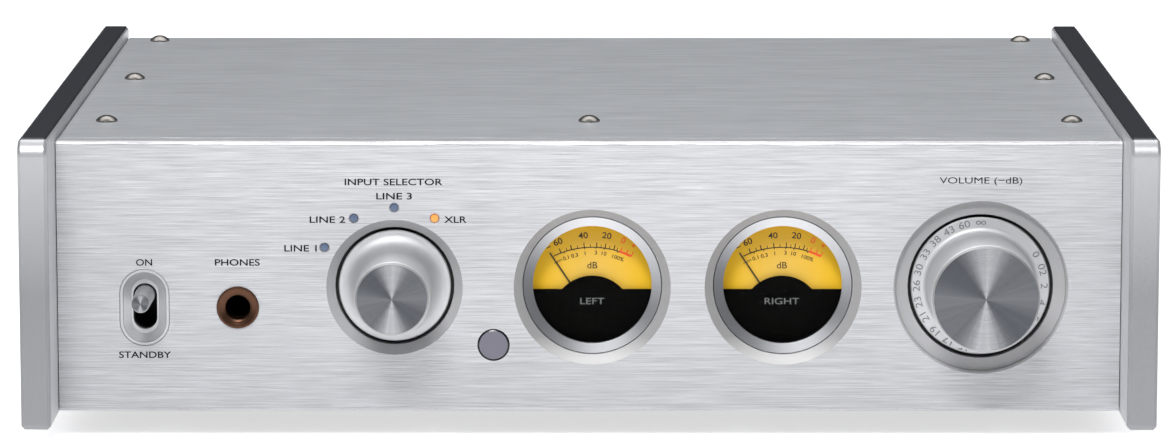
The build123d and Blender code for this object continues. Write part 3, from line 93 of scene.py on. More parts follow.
class Finish:
    """One surface finish: a Principled shader with its constants on its sockets, and a way to add nodes."""

    def __init__(self, name, constants):
        self.material = bpy.data.materials.new(name)
        self.material.use_nodes = True
        self.tree = self.material.node_tree
        self.shader = self.tree.nodes["Principled BSDF"]
        for socket, value in constants.items():
            self.shader.inputs[socket].default_value = value
        self.coordinates = None

    def node(self, kind, settings, values, output=0):
        """Adds a node: its settings first, then its sockets, each a number, a colour, a vector or a Field."""
        made = self.tree.nodes.new(kind)
        for setting, value in settings.items():
            setattr(made, setting, value)
        for socket, value in values.items():
            if isinstance(value, Field):
                self.tree.links.new(value.socket, made.inputs[socket])
            else:
                made.inputs[socket].default_value = value
        return Field(self, made.outputs[output])

    def drive(self, **fields):
        """Feeds what varies over the surface into the shader's sockets."""
        for socket, field in fields.items():
            self.tree.links.new(field.socket, self.shader.inputs[socket.replace("_", " ")])

    def place(self):
        """The object's own coordinates, in metres."""
        if self.coordinates is None:
            self.coordinates = self.node("ShaderNodeTexCoord", {}, {}, "Object")
        return self.coordinates

    def axes(self, centre=(0, 0, 0)):
        """The distances along X, Y and Z from a point."""
        shifted = self.node("ShaderNodeVectorMath", {"operation": "SUBTRACT"}, {0: self.place(), 1: centre})
        split = self.node("ShaderNodeSeparateXYZ", {}, {0: shifted})
        outputs = split.socket.node.outputs
        return [Field(self, outputs[index]) for index in range(3)]

    def noise(self, stretch, detail=2.0, roughness=0.5):
        """Noise from nought to one whose cells are stretched by a vector: larger numbers are finer."""
        spread = self.node("ShaderNodeVectorMath", {"operation": "MULTIPLY"}, {0: self.place(), 1: stretch})
        sockets = {"Vector": spread, "Scale": 1.0, "Detail": detail, "Roughness": roughness}
        return self.node("ShaderNodeTexNoise", {}, sockets, 0)

    def grooves(self, distance, pitch, detail=1.0):
        """Noise from nought to one along one distance, as a lathe tool leaves it."""
        sockets = {"W": distance / pitch, "Scale": 1.0, "Detail": detail}
        return self.node("ShaderNodeTexNoise", {"noise_dimensions": "1D"}, sockets, 0)

    def colour(self, share, low, high):
        """A colour between two: each is a tuple or a Field."""
        settings = {"data_type": "RGBA"}
        return self.node("ShaderNodeMix", settings, {0: share, 6: low, 7: high}, 2)

    def number(self, share, low, high):
        """A number between two."""
        return low + share * (high - low)

    def vector(self, x, y, z):
        return self.node("ShaderNodeCombineXYZ", {}, {0: x, 1: y, 2: z})

    def tilt(self, lean):
        """Leans the surface's normal by a vector given along the object's axes."""
        turn = {"vector_type": "VECTOR", "convert_from": "OBJECT", "convert_to": "WORLD"}
        turned = self.node("ShaderNodeVectorTransform", turn, {0: lean})
        normal = self.node("ShaderNodeNewGeometry", {}, {}, "Normal")
        leaning = self.node("ShaderNodeVectorMath", {"operation": "ADD"}, {0: normal, 1: turned})
        self.drive(Normal=self.node("ShaderNodeVectorMath", {"operation": "NORMALIZE"}, {0: leaning}))


def wear(node, finish):
    """Gives a CAD node a finish."""
    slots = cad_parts[node].data.materials
    if not slots:
        slots.append(finish.material)
    for index in range(len(slots)):
        slots[index] = finish.material


def blasted(name, colour, roughness, lean=0.10, metallic=1.0):
    """Metal with the fine even sparkle that blasting leaves."""
    finish = Finish(name, {"Metallic": metallic})
    cloud = finish.noise((60, 60, 60))
    bead = finish.noise((4200, 4200, 4200), detail=2.0)
    other = finish.noise((3900, 4100, 4400), detail=2.0)
    darker = [0.80 * part for part in colour] + [1.0]
    finish.shade = finish.colour(cloud * 0.4 + bead * 0.6, tuple(darker), (*colour, 1.0))
    finish.drive(Base_Color=finish.shade)
    finish.drive(Roughness=finish.number(bead, roughness - 0.04, roughness + 0.06))
    finish.tilt(finish.vector((bead - 0.5) * lean, (other - 0.5) * lean, (bead - other) * lean))
    return finish


# Painted shade: their upper edges are painted darker, and are smoother.
plate_finish = blasted("blasted_plate", (0.66, 0.665, 0.69), 0.40, lean=0.20, metallic=0.55)
plate_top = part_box("side_plate_left")[1][2]
plate_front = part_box("side_plate_left")[0][1]
upper_edge_depth = 0.4 * mm
front_edge_depth = 2.5 * mm
painted_shade_start = 6 * mm
painted_shade_fade = 34 * mm
painted_shade_front_edge = (0.27, 0.275, 0.29, 1.0)
painted_shade_upper_edge = (0.25, 0.26, 0.29, 1.0)
x, y, z = plate_finish.axes((0, 0, plate_top))
upper_edge = z > -upper_edge_depth
front_edge = y < plate_front + front_edge_depth
# Painted shade: the front edges are painted darker below the round corner, more so further down.
lower = (0 - (z + painted_shade_start) / painted_shade_fade).held()
front_painted_shade = plate_finish.colour(front_edge * (0.30 + lower * 0.70), plate_finish.shade, painted_shade_front_edge)
plate_finish.drive(
    Base_Color=plate_finish.colour(upper_edge, front_painted_shade, painted_shade_upper_edge),
    Metallic=0.55 + upper_edge * 0.28,
    Roughness=0.40 - upper_edge * 0.20,
)
wear("side_plate_left", plate_finish)
wear("side_plate_right", plate_finish)

# ---- front panel --------------------------------------------------------------------------------
# A slab brushed from side to side and clear anodised. The round recesses are turned after the brushing,
# so they are plain and satin where the face has its grain.
face_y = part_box("front_panel")[0][1]


def middle(node):
    """The middle of a CAD node's box."""
    low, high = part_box(node)
    return Vector([(low[axis] + high[axis]) / 2 for axis in range(3)])


selector_centre = middle("selector_knob")
volume_centre = middle("volume_knob")
dial_low, dial_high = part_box("meter_dials")
dial_radius = (dial_high[2] - dial_low[2]) / 2
row_z = selector_centre.z
meter_left_x = dial_low[0] + dial_radius
meter_right_x = dial_high[0] - dial_radius
knob_recesses = {"selector_knob": 17.75 * mm, "volume_knob": 22.7 * mm}
meter_recess = 20.4 * mm
recess_start = 0.02 * mm
painted_shadow_width = 0.75 * mm
painted_light_start = 13 * mm
painted_light_blend = 6 * mm
painted_shade_height = 70 * mm
painted_gap_shadow = (0.006, 0.006, 0.006, 1.0)


def brushed(name, colour, contrast, lean):
    """Sheet metal brushed along X: long fine scratches, with broader pale and dark streaks among them."""
    finish = Finish(name, {"Metallic": 0.45})
    streak = finish.noise((24, 2400, 2400), detail=2.0, roughness=0.7)
    scratch = finish.noise((60, 4200, 4200), detail=2.0, roughness=0.6)
    hair = finish.noise((90, 11000, 11000), detail=1.0)
    share = (streak * 0.5 + scratch * 0.5 - 0.5) * contrast + 0.5
    dull = [0.66 * part for part in colour] + [1.0]
    shade = finish.colour(share.held(), tuple(dull), (*colour, 1.0))
    rough = finish.number(scratch, 0.30, 0.44)
    across = (scratch - 0.5) * (0.5 * lean) + (hair - 0.5) * lean + (streak - 0.5) * (0.3 * lean)
    return finish, shade, rough, across


panel_finish, face_grain_and_painted_shade, face_rough, face_lean = brushed("brushed_panel", (0.70, 0.705, 0.735), 5.5, 0.7)


def in_recess(centre_x, reach):
    """Where the panel's surface lies inside one recess, with the distances across and up from its middle."""
    x, y, z = panel_finish.axes((centre_x, face_y, row_z))
    radius = (x * x + z * z) ** 0.5
    return (radius < reach) * (y > recess_start), radius, z


# Painted shadow: the floor of a knob's recess is painted black next to the skirt, where the gap lies in
# shadow.
insides = []
painted_gap_shadow_rings = []
for knob, reach in knob_recesses.items():
    inside, radius, z = in_recess(middle(knob).x, reach)
    skirt_reach = (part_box(knob)[1][0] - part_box(knob)[0][0]) / 2
    insides.append(inside)
    painted_gap_shadow_rings.append(inside * (radius < skirt_reach + painted_shadow_width))

# Painted light: the lower wall of a meter's recess is painted lighter than the rest of it.
painted_light_walls = []
for meter_x in (meter_left_x, meter_right_x):
    inside, radius, z = in_recess(meter_x, meter_recess)
    insides.append(inside)
    painted_light_walls.append(inside * ((0 - z - painted_light_start) / painted_light_blend).held())
recessed = insides[0] + insides[1] + insides[2] + insides[3]
satin = panel_finish.noise((4000, 4000, 4000), detail=1.0)

# Painted shade: the brushed face is painted a little darker towards its lower edge.
x, y, z = panel_finish.axes((0, 0, row_z))
upward = (z / painted_shade_height + 0.5).held()
painted_shade_tone = panel_finish.colour(upward, (0.72, 0.725, 0.73, 1.0), (1.0, 1.0, 1.0, 1.0))
tinted = {"data_type": "RGBA", "blend_type": "MULTIPLY"}
face_grain_and_painted_shade = panel_finish.node("ShaderNodeMix", tinted, {0: 1.0, 6: face_grain_and_painted_shade, 7: painted_shade_tone}, 2)
painted_light_wall = painted_light_walls[0] + painted_light_walls[1]
recess_colour_and_painted_light = panel_finish.colour(painted_light_wall, (0.38, 0.38, 0.39, 1.0), (0.72, 0.72, 0.73, 1.0))
recess_colour_and_painted_light = panel_finish.colour(painted_gap_shadow_rings[0] + painted_gap_shadow_rings[1], recess_colour_and_painted_light, painted_gap_shadow)
panel_finish.drive(
    Base_Color=panel_finish.colour(recessed, face_grain_and_painted_shade, recess_colour_and_painted_light),
    Roughness=face_rough * (1 - recessed) + recessed * (0.50 + satin * 0.10),
    Metallic=0.45 - recessed * 0.20,
)
across = face_lean * (1 - recessed) + (satin - 0.5) * 0.05
panel_finish.tilt(panel_finish.vector(0.0, across, across))
wear("front_panel", panel_finish)

# ---- top cover ----------------------------------------------------------------------------------
# A plate brushed the same way as the panel, held down by seven nickel-plated button screws.
cover_finish, cover_shade, cover_rough, cover_lean = brushed("brushed_cover", (0.69, 0.715, 0.75), 5.5, 0.6)
cover_finish.drive(Base_Color=cover_shade, Roughness=cover_rough)
cover_finish.tilt(cover_finish.vector(0.0, cover_lean, cover_lean))
wear("top_cover", cover_finish)


def plated(name, colour, roughness, pitting=0.03):
    """A plated or polished metal part with faint wear in its sheen."""
    finish = Finish(name, {"Metallic": 1.0})
    wearing = finish.noise((700, 700, 700), detail=4.0, roughness=0.6)
    fine = finish.noise((6000, 6000, 6000), detail=1.0)
    darker = [0.86 * part for part in colour] + [1.0]
    finish.drive(Base_Color=finish.colour(wearing, tuple(darker), (*colour, 1.0)))
    finish.drive(Roughness=finish.number(wearing, roughness - 0.03, roughness + 0.05))
    finish.tilt(finish.vector((fine - 0.5) * pitting, (wearing - 0.5) * pitting, (fine - wearing) * pitting))
    return finish


wear("top_cover_screws", plated("nickel_screw", (0.27, 0.255, 0.24), 0.24))

# ---- legends on the panel -----------------------------------------------------------------------
# Function names screen-printed in dark grey ink: plain capitals, wide and evenly spaced.


def moulded(name, colour, roughness=0.45, grain=0.06, fineness=2500, **extra):
    """Moulded plastic, paint or rubber: a faint unevenness in its colour, sheen and surface."""
    finish = Finish(name, {socket.replace("_", " "): value for socket, value in extra.items()})
    cloud = finish.noise((90, 90, 90), detail=3.0)
    fine = finish.noise((fineness, fineness, fineness), detail=2.0)
    other = finish.noise((fineness * 1.1, fineness * 0.9, fineness), detail=2.0)
    darker = [0.85 * part for part in colour] + [1.0]
    finish.drive(Base_Color=finish.colour(cloud * 0.5 + fine * 0.5, tuple(darker), (*colour, 1.0)))
    finish.drive(Roughness=finish.number(fine, roughness - 0.05, roughness + 0.07))
    finish.tilt(finish.vector((fine - 0.5) * grain, (other - 0.5) * grain, (fine - other) * grain))
    return finish


def settle(piece, body, finish):
    """Applies a finished piece's place, gives it its finish and lets it ride on a body."""
    bpy.ops.object.select_all(action="DESELECT")
    piece.select_set(True)
    bpy.context.view_layer.objects.active = piece
    bpy.ops.object.transform_apply(location=True, rotation=True, scale=True)
    piece.data.materials.clear()
    piece.data.materials.append(finish.material)
    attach(piece, body)
    return piece


def joined(pieces, name):
    """Joins pieces into one object."""
    bpy.ops.object.select_all(action="DESELECT")
    for piece in pieces:
        piece.select_set(True)
    bpy.context.view_layer.objects.active = pieces[0]
    bpy.ops.object.join()
    whole = bpy.context.object
    whole.name = name
    return whole


capital_height = 0.73


def printed(words, place, height, width=None, turn=0.0, stretch=1.2, weight=0.0):
    """Flat printed words as a mesh, centred on a place, facing the front, turned clockwise by an angle."""
    bpy.ops.object.select_all(action="DESELECT")
    bpy.ops.object.text_add()
    text = bpy.context.object
    text.data.body = words
    text.data.align_x = "CENTER"
    text.data.align_y = "CENTER"
    text.data.size = height / capital_height
    text.data.offset = weight * height
    text.data.resolution_u = 4
    bpy.ops.object.convert(target="MESH")
    text = bpy.context.object
    xs = [point.co.x for point in text.data.vertices]
    ys = [point.co.y for point in text.data.vertices]
    across = max(xs) - min(xs)
    text_scale = width / across if width else stretch
    middle_x = (max(xs) + min(xs)) / 2
    middle_y = (max(ys) + min(ys)) / 2
    for point in text.data.vertices:
        point.co.x = (point.co.x - middle_x) * text_scale
        point.co.y = point.co.y - middle_y
    facing = Euler((pi / 2, 0, 0)).to_matrix()
    spin = Euler((0, turn, 0)).to_matrix()
    text.rotation_euler = (spin @ facing).to_euler()
    text.location = place
    bpy.ops.object.select_all(action="DESELECT")
    text.select_set(True)
    bpy.context.view_layer.objects.active = text
    bpy.ops.object.transform_apply(location=True, rotation=True, scale=True)
    return text


ink_gap = 0.03 * mm
letter = 1.75 * mm
ink = moulded("dark_grey_ink", (0.010, 0.010, 0.012), roughness=0.6, Specular_IOR_Level=0.05)
toggle_x = middle("power_switch_bezel").x
phones_x = middle("phones_ring").x
low_row_z = middle("phones_ring").z
panel_legends = [
    ("INPUT SELECTOR", selector_centre.x - 0.1 * mm, row_z + 27.5 * mm, 25.2 * mm),
    ("LINE 3", selector_centre.x, row_z + 23.8 * mm, 9.2 * mm),
    ("LINE 2", selector_centre.x - 17.2 * mm, row_z + 17.7 * mm, 9.2 * mm),
    ("LINE 1", selector_centre.x - 24.2 * mm, row_z + 10.2 * mm, 8.4 * mm),
    ("XLR", selector_centre.x + 15.8 * mm, row_z + 17.7 * mm, 5.8 * mm),
    ("ON", toggle_x, low_row_z + 11.8 * mm, 4.2 * mm),
    ("STANDBY", toggle_x, low_row_z - 12.4 * mm, 13.5 * mm),
    ("PHONES", phones_x, low_row_z + 11.8 * mm, 11.6 * mm),
    ("VOLUME (−dB)", volume_centre.x - 0.3 * mm, row_z + 27.7 * mm, 21.3 * mm),
]
bolder = 0.018
words = []
for text, x, z, width in panel_legends:
    # Thickened outlines close up in the letter M, so words with one keep their plain weight.
    weight = 0.0 if "M" in text else bolder
    words.append(printed(text, (x, face_y - ink_gap, z), letter, width, weight=weight))
settle(joined(words, "panel_legends"), "chassis", ink)

# ---- power toggle -------------------------------------------------------------------------------
# A satin insert with a dished floor, and a stick turned from bar whose end is faced on the lathe.


cut_edge_depth = 1.1 * mm
painted_sheen_dark = (0.060, 0.067, 0.080, 1.0)
painted_sheen_light = (0.41, 0.418, 0.442, 1.0)


def spun(
    name, centre, colour, front, reach, rough=(0.20, 0.36), lean=(0.55, 0.10), pitch=0.05 * mm, depth=0.14
):
    """Turned metal: its end is faced in fine rings, with a painted sheen gathered in wedges; the rest is
    satin.

    The painted sheen is part of the colour, so it turns with the piece. The band behind the faced end is
    painted darker, as painted shade.
    """
    finish = Finish(name, {"Metallic": 0.9})
    x, y, z = finish.axes(centre)
    radius = (x * x + z * z + 1e-10) ** 0.5
    faced = (y < front - centre[1] + 0.02 * mm) * (radius < reach)
    rings = finish.grooves(radius + y * 0.7, pitch, detail=2.0)
    bands = finish.grooves(radius + y, 14 * pitch, detail=2.0)
    satin = finish.noise((4200, 4200, 4200), detail=1.0)
    marks = finish.number(faced, lean[1], lean[0]) * (rings - 0.5) + (satin - 0.5) * (0.30 - faced * 0.26)
    # Painted shade: the band just behind the faced end is painted darker.
    cut_edge = (y < front - centre[1] + cut_edge_depth) * (1 - faced)
    # Painted sheen: bright wedges above and below the middle, dark ones to the sides.
    upright = (z * z - x * x) / (radius * radius)
    slanting = x * z * 0.14 / (radius * radius)
    painted_sheen = 0.06 + (upright.held() ** 3.0) * 0.90 + ((0 - upright).held() ** 5.0) * 0.12 + slanting
    painted_sheen_fan = finish.grooves(x.maths("ARCTAN2", x, z), 0.16, detail=3.0)
    painted_sheen = painted_sheen + (painted_sheen_fan - 0.5) * (0.10 + painted_sheen * 0.45)
    darker = [(1 - depth) * part for part in colour] + [1.0]
    plain = finish.colour(bands * 0.6 + rings * 0.4, tuple(darker), (*colour, 1.0))
    painted_shade_edge = [0.62 * part for part in colour] + [1.0]
    plain = finish.colour(cut_edge, plain, tuple(painted_shade_edge))
    facing = finish.colour(painted_sheen.held(), painted_sheen_dark, painted_sheen_light)
    facing = finish.colour(rings * 0.3, facing, (0.2, 0.2, 0.2, 1.0))
    finish.drive(Base_Color=finish.colour(faced, plain, facing))
    finish.drive(Roughness=finish.number(faced, rough[1], rough[0]) + (bands - 0.5) * 0.05)
    finish.tilt(finish.vector(x / radius * marks, marks * (1 - faced), z / radius * marks))
    return finish


wear("power_switch_bezel", blasted("satin_insert", (0.58, 0.585, 0.60), 0.46, lean=0.08, metallic=0.45))
lever_centre = middle("power_lever")
lever_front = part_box("power_lever")[0][1]
lever_reach = 2.1 * mm
lever_pitch = 0.03 * mm
lever_metal = (0.54, 0.54, 0.55)
# The lever's faced end gets the painted sheen, and the band behind it the painted shade.
lever_finish = spun(
    "turned_lever", tuple(lever_centre), lever_metal, lever_front, lever_reach, pitch=lever_pitch
)
wear("power_lever", lever_finish)
black_moulding = moulded("black_moulding", (0.012, 0.012, 0.013), roughness=0.5)
wear("power_switch_body", black_moulding)

# ---- headphone socket ---------------------------------------------------------------------------
# A brass ring turned with a dished face and copper plated, in front of a black moulded jack.
phones_centre = middle("phones_ring")
copper = (0.125, 0.060, 0.036)
no_face = -1.0
ring_finish = spun(
    "copper_ring",
    tuple(phones_centre),
    copper,
    no_face,
    6.0 * mm,
    rough=(0.24, 0.32),
    lean=(0.5, 0.5),
    pitch=0.3 * mm,
    depth=0.6,
)
wear("phones_ring", ring_finish)
wear("phones_jack", black_moulding)

# ---- knobs --------------------------------------------------------------------------------------
# Each knob is one turning: a satin skirt and trumpet neck, a bright cut edge and a faced front.
knob_metal = (0.63, 0.635, 0.65)
# Each knob's faced front gets a painted sheen in wedges, and its cut edge is painted darker as painted shade.
for node, reach in (("selector_knob", 9.0 * mm), ("volume_knob", 13.3 * mm)):
    knob_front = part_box(node)[0][1]
    knob_finish = spun(
        f"turned_{node}", tuple(middle(node)), knob_metal, knob_front, reach, rough=(0.20, 0.60)
    )
    wear(node, knob_finish)
wear("selector_shaft", plated("ground_shaft", (0.55, 0.55, 0.55), 0.25))
wear("volume_shaft", plated("ground_shaft_two", (0.55, 0.55, 0.55), 0.25))

# The volume figures are printed round the skirt in grey, from the infinity mark at the top; the knob
# carries them round.
skirt_y = face_y + 2.55 * mm
figure_circle = 16.55 * mm
figure_step = radians(15)
figure_height = 1.9 * mm
figures = ["∞", "60", "43", "38", "33", "30", "26", "23", "21", "19", "17", "15", "13", "11"]
figures += ["9", "7", "5", "4", "2", "02", "0"]
marks = []
for index, figure in enumerate(figures):
    angle = -index * figure_step
    spot = (
        volume_centre.x + figure_circle * sin(angle),
        skirt_y - ink_gap,
        volume_centre.z + figure_circle * cos(angle),
    )
    marks.append(printed(figure, spot, figure_height, turn=angle, stretch=1.22))
figure_ink = moulded("grey_figure_fill", (0.16, 0.165, 0.18), roughness=0.5)
settle(joined(marks, "volume_figures"), "volume", figure_ink)

# ---- meters -------------------------------------------------------------------------------------
# Each meter has a polished bezel, a clear lens, an amber card lit from behind, a matt black lower cover
# and a fine black needle. The scales are printed in brown and red, the names in grey.
# Painted reflection: the bezels are painted darker to the sides and at the bottom, and are rougher there.
bezel_finish = plated("polished_bezel", (0.80, 0.81, 0.84), 0.30, pitting=0.01)
x, y, z = bezel_finish.axes(((meter_left_x + meter_right_x) / 2, face_y, row_z))
half_apart = (meter_right_x - meter_left_x) / 2
x = x - x.maths("SIGN", x) * half_apart
radius = (x * x + z * z) ** 0.5
bezel_painted_shade = ((0 - z / radius).held() ** 2.0) * 0.66 + ((0 - x / radius).held() ** 2.0) * 0.78
bezel_painted_shade = bezel_painted_shade + ((x / radius).held() ** 2.0) * 0.42
bezel_painted_reflection = bezel_finish.colour(bezel_painted_shade.held(), (0.54, 0.545, 0.565, 1.0), (0.10, 0.104, 0.115, 1.0))
bezel_finish.drive(Base_Color=bezel_painted_reflection, Roughness=0.28 + bezel_painted_shade * 0.40)
wear("meter_bezels", bezel_finish)


def card_colour(finish):
    """The card's amber: yellow at the sides, deeper at the top and paler above the pivot."""
    x, y, z = finish.axes(((meter_left_x + meter_right_x) / 2, face_y, row_z))
    aside = abs(abs(x) - half_apart) / (13 * mm)
    upward = (z / (15 * mm)).held()
    card = finish.colour((aside**1.3).held(), (0.58, 0.375, 0.078, 1.0), (0.66, 0.39, 0.020, 1.0))
    return finish.colour(upward**2.0, card, (0.58, 0.31, 0.014, 1.0))


dial_finish = Finish("amber_card", {"Roughness": 0.6, "Emission Strength": 0.33, "Specular IOR Level": 0.1})
card = card_colour(dial_finish)
paper = dial_finish.noise((3000, 3000, 3000), detail=2.0)
dial_finish.drive(Base_Color=card, Emission_Color=card, Roughness=0.5 + paper * 0.2)
wear("meter_dials", dial_finish)
needle_black = moulded("needle_black", (0.012, 0.010, 0.008), roughness=0.45)
wear("meter_needle_left", needle_black)
wear("meter_needle_right", needle_black)
cover_black = (0.002, 0.002, 0.002)
matt_black = moulded("matt_black_cover", cover_black, roughness=0.7, grain=0.0, Specular_IOR_Level=0.03)
wear("meter_covers", matt_black)
wear("meter_cases", black_moulding)

lens_finish = Finish("clear_lens", {"Roughness": 0.03, "Base Color": (1, 1, 1, 1), "IOR": 1.49})
clear = lens_finish.node("ShaderNodeBsdfTransparent", {}, {"Color": (0.98, 0.98, 0.97, 1.0)})
gloss = lens_finish.node("ShaderNodeBsdfGlossy", {}, {"Color": (1, 1, 1, 1), "Roughness": 0.03})
sheen = lens_finish.node("ShaderNodeFresnel", {}, {"IOR": 1.035})
mixed = lens_finish.node("ShaderNodeMixShader", {}, {0: sheen, 1: clear, 2: gloss})
output = lens_finish.tree.nodes["Material Output"]
lens_finish.tree.links.new(mixed.socket, output.inputs["Surface"])
wear("meter_lenses", lens_finish)

card_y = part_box("meter_dials")[0][1] - ink_gap
cover_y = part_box("meter_covers")[0][1] - ink_gap
scale_radius = 22.6 * mm
scale_drop = 13.7 * mm
scale_sweep = radians(26.2)
scale_end = radians(26.5)
red_from = radians(18.0)
fine_line = 0.27 * mm
short_line = 0.19 * mm
bold_line = 0.60 * mm
ink_depth = 0.02 * mm
arc_pieces = 36


def tick(x, angle, start, length, thickness):
    """One printed line along the scale's radius at an angle, from a radius outwards."""
    reach = start + length / 2
    spot = (x + reach * sin(angle), card_y, row_z - scale_drop + reach * cos(angle))
    bpy.ops.object.select_all(action="DESELECT")
    bpy.ops.mesh.primitive_cube_add(size=1.0, location=spot, rotation=(0, angle, 0))
    line = bpy.context.object
    line.scale = (thickness, ink_depth, length)
    bpy.ops.object.transform_apply(location=True, rotation=True, scale=True)
    return line


def arc(x, radius, first, last, thickness):
    """A printed arc of the scale, laid as short straight lines that overlap a little."""
    pieces = []
    for index in range(arc_pieces):
        start = first + (last - first) * index / arc_pieces
        end = first + (last - first) * (index + 1) / arc_pieces
        centre = (start + end) / 2
        spot = (x + radius * sin(centre), card_y, row_z - scale_drop + radius * cos(centre))
        bpy.ops.mesh.primitive_cube_add(size=1.0, location=spot, rotation=(0, centre, 0))
        piece = bpy.context.object
        piece.scale = (radius * (end - start) * 1.02, ink_depth, thickness)
        bpy.ops.object.transform_apply(location=True, rotation=True, scale=True)
        pieces.append(piece)
    return pieces


# Ticks are given by their angle in degrees; figures by angle, distance from the scale's centre in mm and
# height in mm.
long_ticks = [-21.1, -13.7, -5.3, 2.8, 8.5, 14.3]
short_ticks = [-16.9, -9.6, -1.3, 5.7, 11.3, 16.4]
lower_ticks = [-18.8, -12.2, -5.1, 2.4, 7.9, 17.2]
red_ticks = [18.9, 22.9, 26.5]
brown_figures = [("−", -26.6, 25.3, 1.6), ("60", -20.4, 25.65, 1.65)]
brown_figures += [("40", -5.3, 25.8, 1.65), ("20", 8.4, 25.95, 1.65)]
red_figures = [("0", 18.3, 25.75, 1.65), ("+", 25.0, 25.4, 1.6)]
percent_figures = [("−∞", -25.5, 20.8, 1.05), ("0.1", -19.2, 20.95, 1.05), ("0.3", -12.7, 20.95, 1.05)]
percent_figures += [("1", -5.1, 21.1, 1.05), ("3", 2.5, 21.2, 1.05)]
percent_figures += [("10", 8.3, 21.15, 1.05), ("100%", 18.6, 20.9, 1.05)]
brown_ink = moulded("brown_scale_ink", (0.030, 0.014, 0.004), roughness=0.5)
scale_red = (0.72, 0.075, 0.012)
red_ink = moulded("red_scale_ink", scale_red, roughness=0.5)
red_ink.shader.inputs["Emission Color"].default_value = (*scale_red, 1.0)
red_ink.shader.inputs["Emission Strength"].default_value = 0.35
grey_ink = moulded("grey_meter_ink", (0.16, 0.17, 0.18), roughness=0.5)


def figure_on_scale(x, figure, degrees_round, radius, height):
    """One printed figure standing on the scale's circle."""
    angle = radians(degrees_round)
    spot = (x + radius * mm * sin(angle), card_y, row_z - scale_drop + radius * mm * cos(angle))
    return printed(figure, spot, height * mm, turn=angle, stretch=1.1, weight=0.022)


for x, side in ((meter_left_x, "left"), (meter_right_x, "right")):
    brown = arc(x, scale_radius, -scale_sweep, red_from, fine_line)
    brown += [tick(x, radians(angle), scale_radius, 1.25 * mm, fine_line) for angle in long_ticks]
    brown += [tick(x, radians(angle), scale_radius, 0.85 * mm, short_line) for angle in short_ticks]
    brown += [figure_on_scale(x, *figure) for figure in brown_figures + percent_figures]
    below = scale_radius - 0.5 * mm
    brown += [tick(x, radians(angle), below, 0.45 * mm, short_line) for angle in lower_ticks]
    brown.append(printed("dB", (x, card_y, row_z + 4.2 * mm), 1.8 * mm, stretch=1.05, weight=0.01))
    settle(joined(brown, f"scale_{side}"), "chassis", brown_ink)
    red = arc(x, scale_radius, red_from, scale_end, bold_line)
    red += [tick(x, radians(angle), scale_radius, 1.25 * mm, fine_line) for angle in red_ticks]
    red += [figure_on_scale(x, *figure) for figure in red_figures]
    settle(joined(red, f"scale_end_{side}"), "chassis", red_ink)
    name = printed(side.upper(), (x, cover_y, row_z - 5.0 * mm), 1.75 * mm, stretch=1.32)
    name.name = f"meter_name_{side}"
    settle(name, "chassis", grey_ink)

# ---- lamps and remote-control window ------------------------------------------------------------
# Clear moulded light guides stand in small holes over the selector, the last one lit; below it to the
# right is the smooth tinted window of the remote control, with a dark rim.
guide = moulded("unlit_light_guide", (0.105, 0.142, 0.235), roughness=0.3)
wear("input_lamps", guide)
lit = moulded("lit_light_guide", (0.9, 0.35, 0.08), roughness=0.3)
lit.shader.inputs["Emission Color"].default_value = (1.0, 0.30, 0.045, 1.0)
lit.shader.inputs["Emission Strength"].default_value = 0.22
wear("input_lamp_lit", lit)
window_finish = Finish("tinted_window", {"Roughness": 0.22})
x, y, z = window_finish.axes(tuple(middle("remote_window")))
window_reach = 3.68 * mm
rim = ((x * x + z * z) ** 0.5) > window_reach
window_tint = (0.130, 0.124, 0.161, 1.0)
window_finish.drive(Base_Color=window_finish.colour(rim, window_tint, (0.01, 0.01, 0.012, 1.0)))
wear("remote_window", window_finish)

# ---- tray, subpanel, brace and rear panel -------------------------------------------------------
# Folded steel sheet under satin black powder paint.
powder = {"grain": 0.12, "fineness": 1800}
for node in ("chassis_tray", "front_subpanel", "top_brace"):
    wear(node, moulded(f"black_paint_{node}", (0.014, 0.014, 0.015), roughness=0.45, **powder))
wear("rear_panel", moulded("black_paint_rear", (0.016, 0.016, 0.018), roughness=0.42, **powder))
zinc = plated("zinc_screws", (0.60, 0.61, 0.64), 0.25)
for node in ("side_plate_screws", "chassis_fixings", "foot_screws", "transformer_clamp"):
    wear(node, zinc)
wear("rear_panel_screws", plated("black_zinc_screws", (0.10, 0.10, 0.11), 0.28))

# ---- feet ---------------------------------------------------------------------------------------
# Moulded black feet with a soft ring underneath.
wear("foot_bodies", moulded("foot_moulding", (0.014, 0.014, 0.015), roughness=0.42))
wear("foot_pads", moulded("foot_rubber", (0.018, 0.018, 0.018), roughness=0.8, grain=0.15))

# ---- inside the case ----------------------------------------------------------------------------
# The encoder, the motor-driven volume control, the boards and the transformer under its yellow tape.
wear("selector_encoder", moulded("encoder_moulding", (0.05, 0.05, 0.05)))
wear("volume_pot", plated("plated_can", (0.62, 0.60, 0.52), 0.3))
for node in ("selector_board", "power_supply_board", "amplifier_board", "input_board"):
    wear(node, moulded(f"lacquer_{node}", (0.02, 0.10, 0.04), roughness=0.3, Coat_Weight=0.4))
wear("reservoir_capacitors", moulded("capacitor_sleeve", (0.015, 0.015, 0.03), roughness=0.25))
wear("heat_sink", blasted("black_anodised_sink", (0.05, 0.05, 0.055), 0.4))
wear("transformer", moulded("winding_tape", (0.62, 0.46, 0.06), roughness=0.3, grain=0.2, fineness=400))
wear("transformer_pads", moulded("pad_rubber", (0.02, 0.02, 0.02), roughness=0.8))

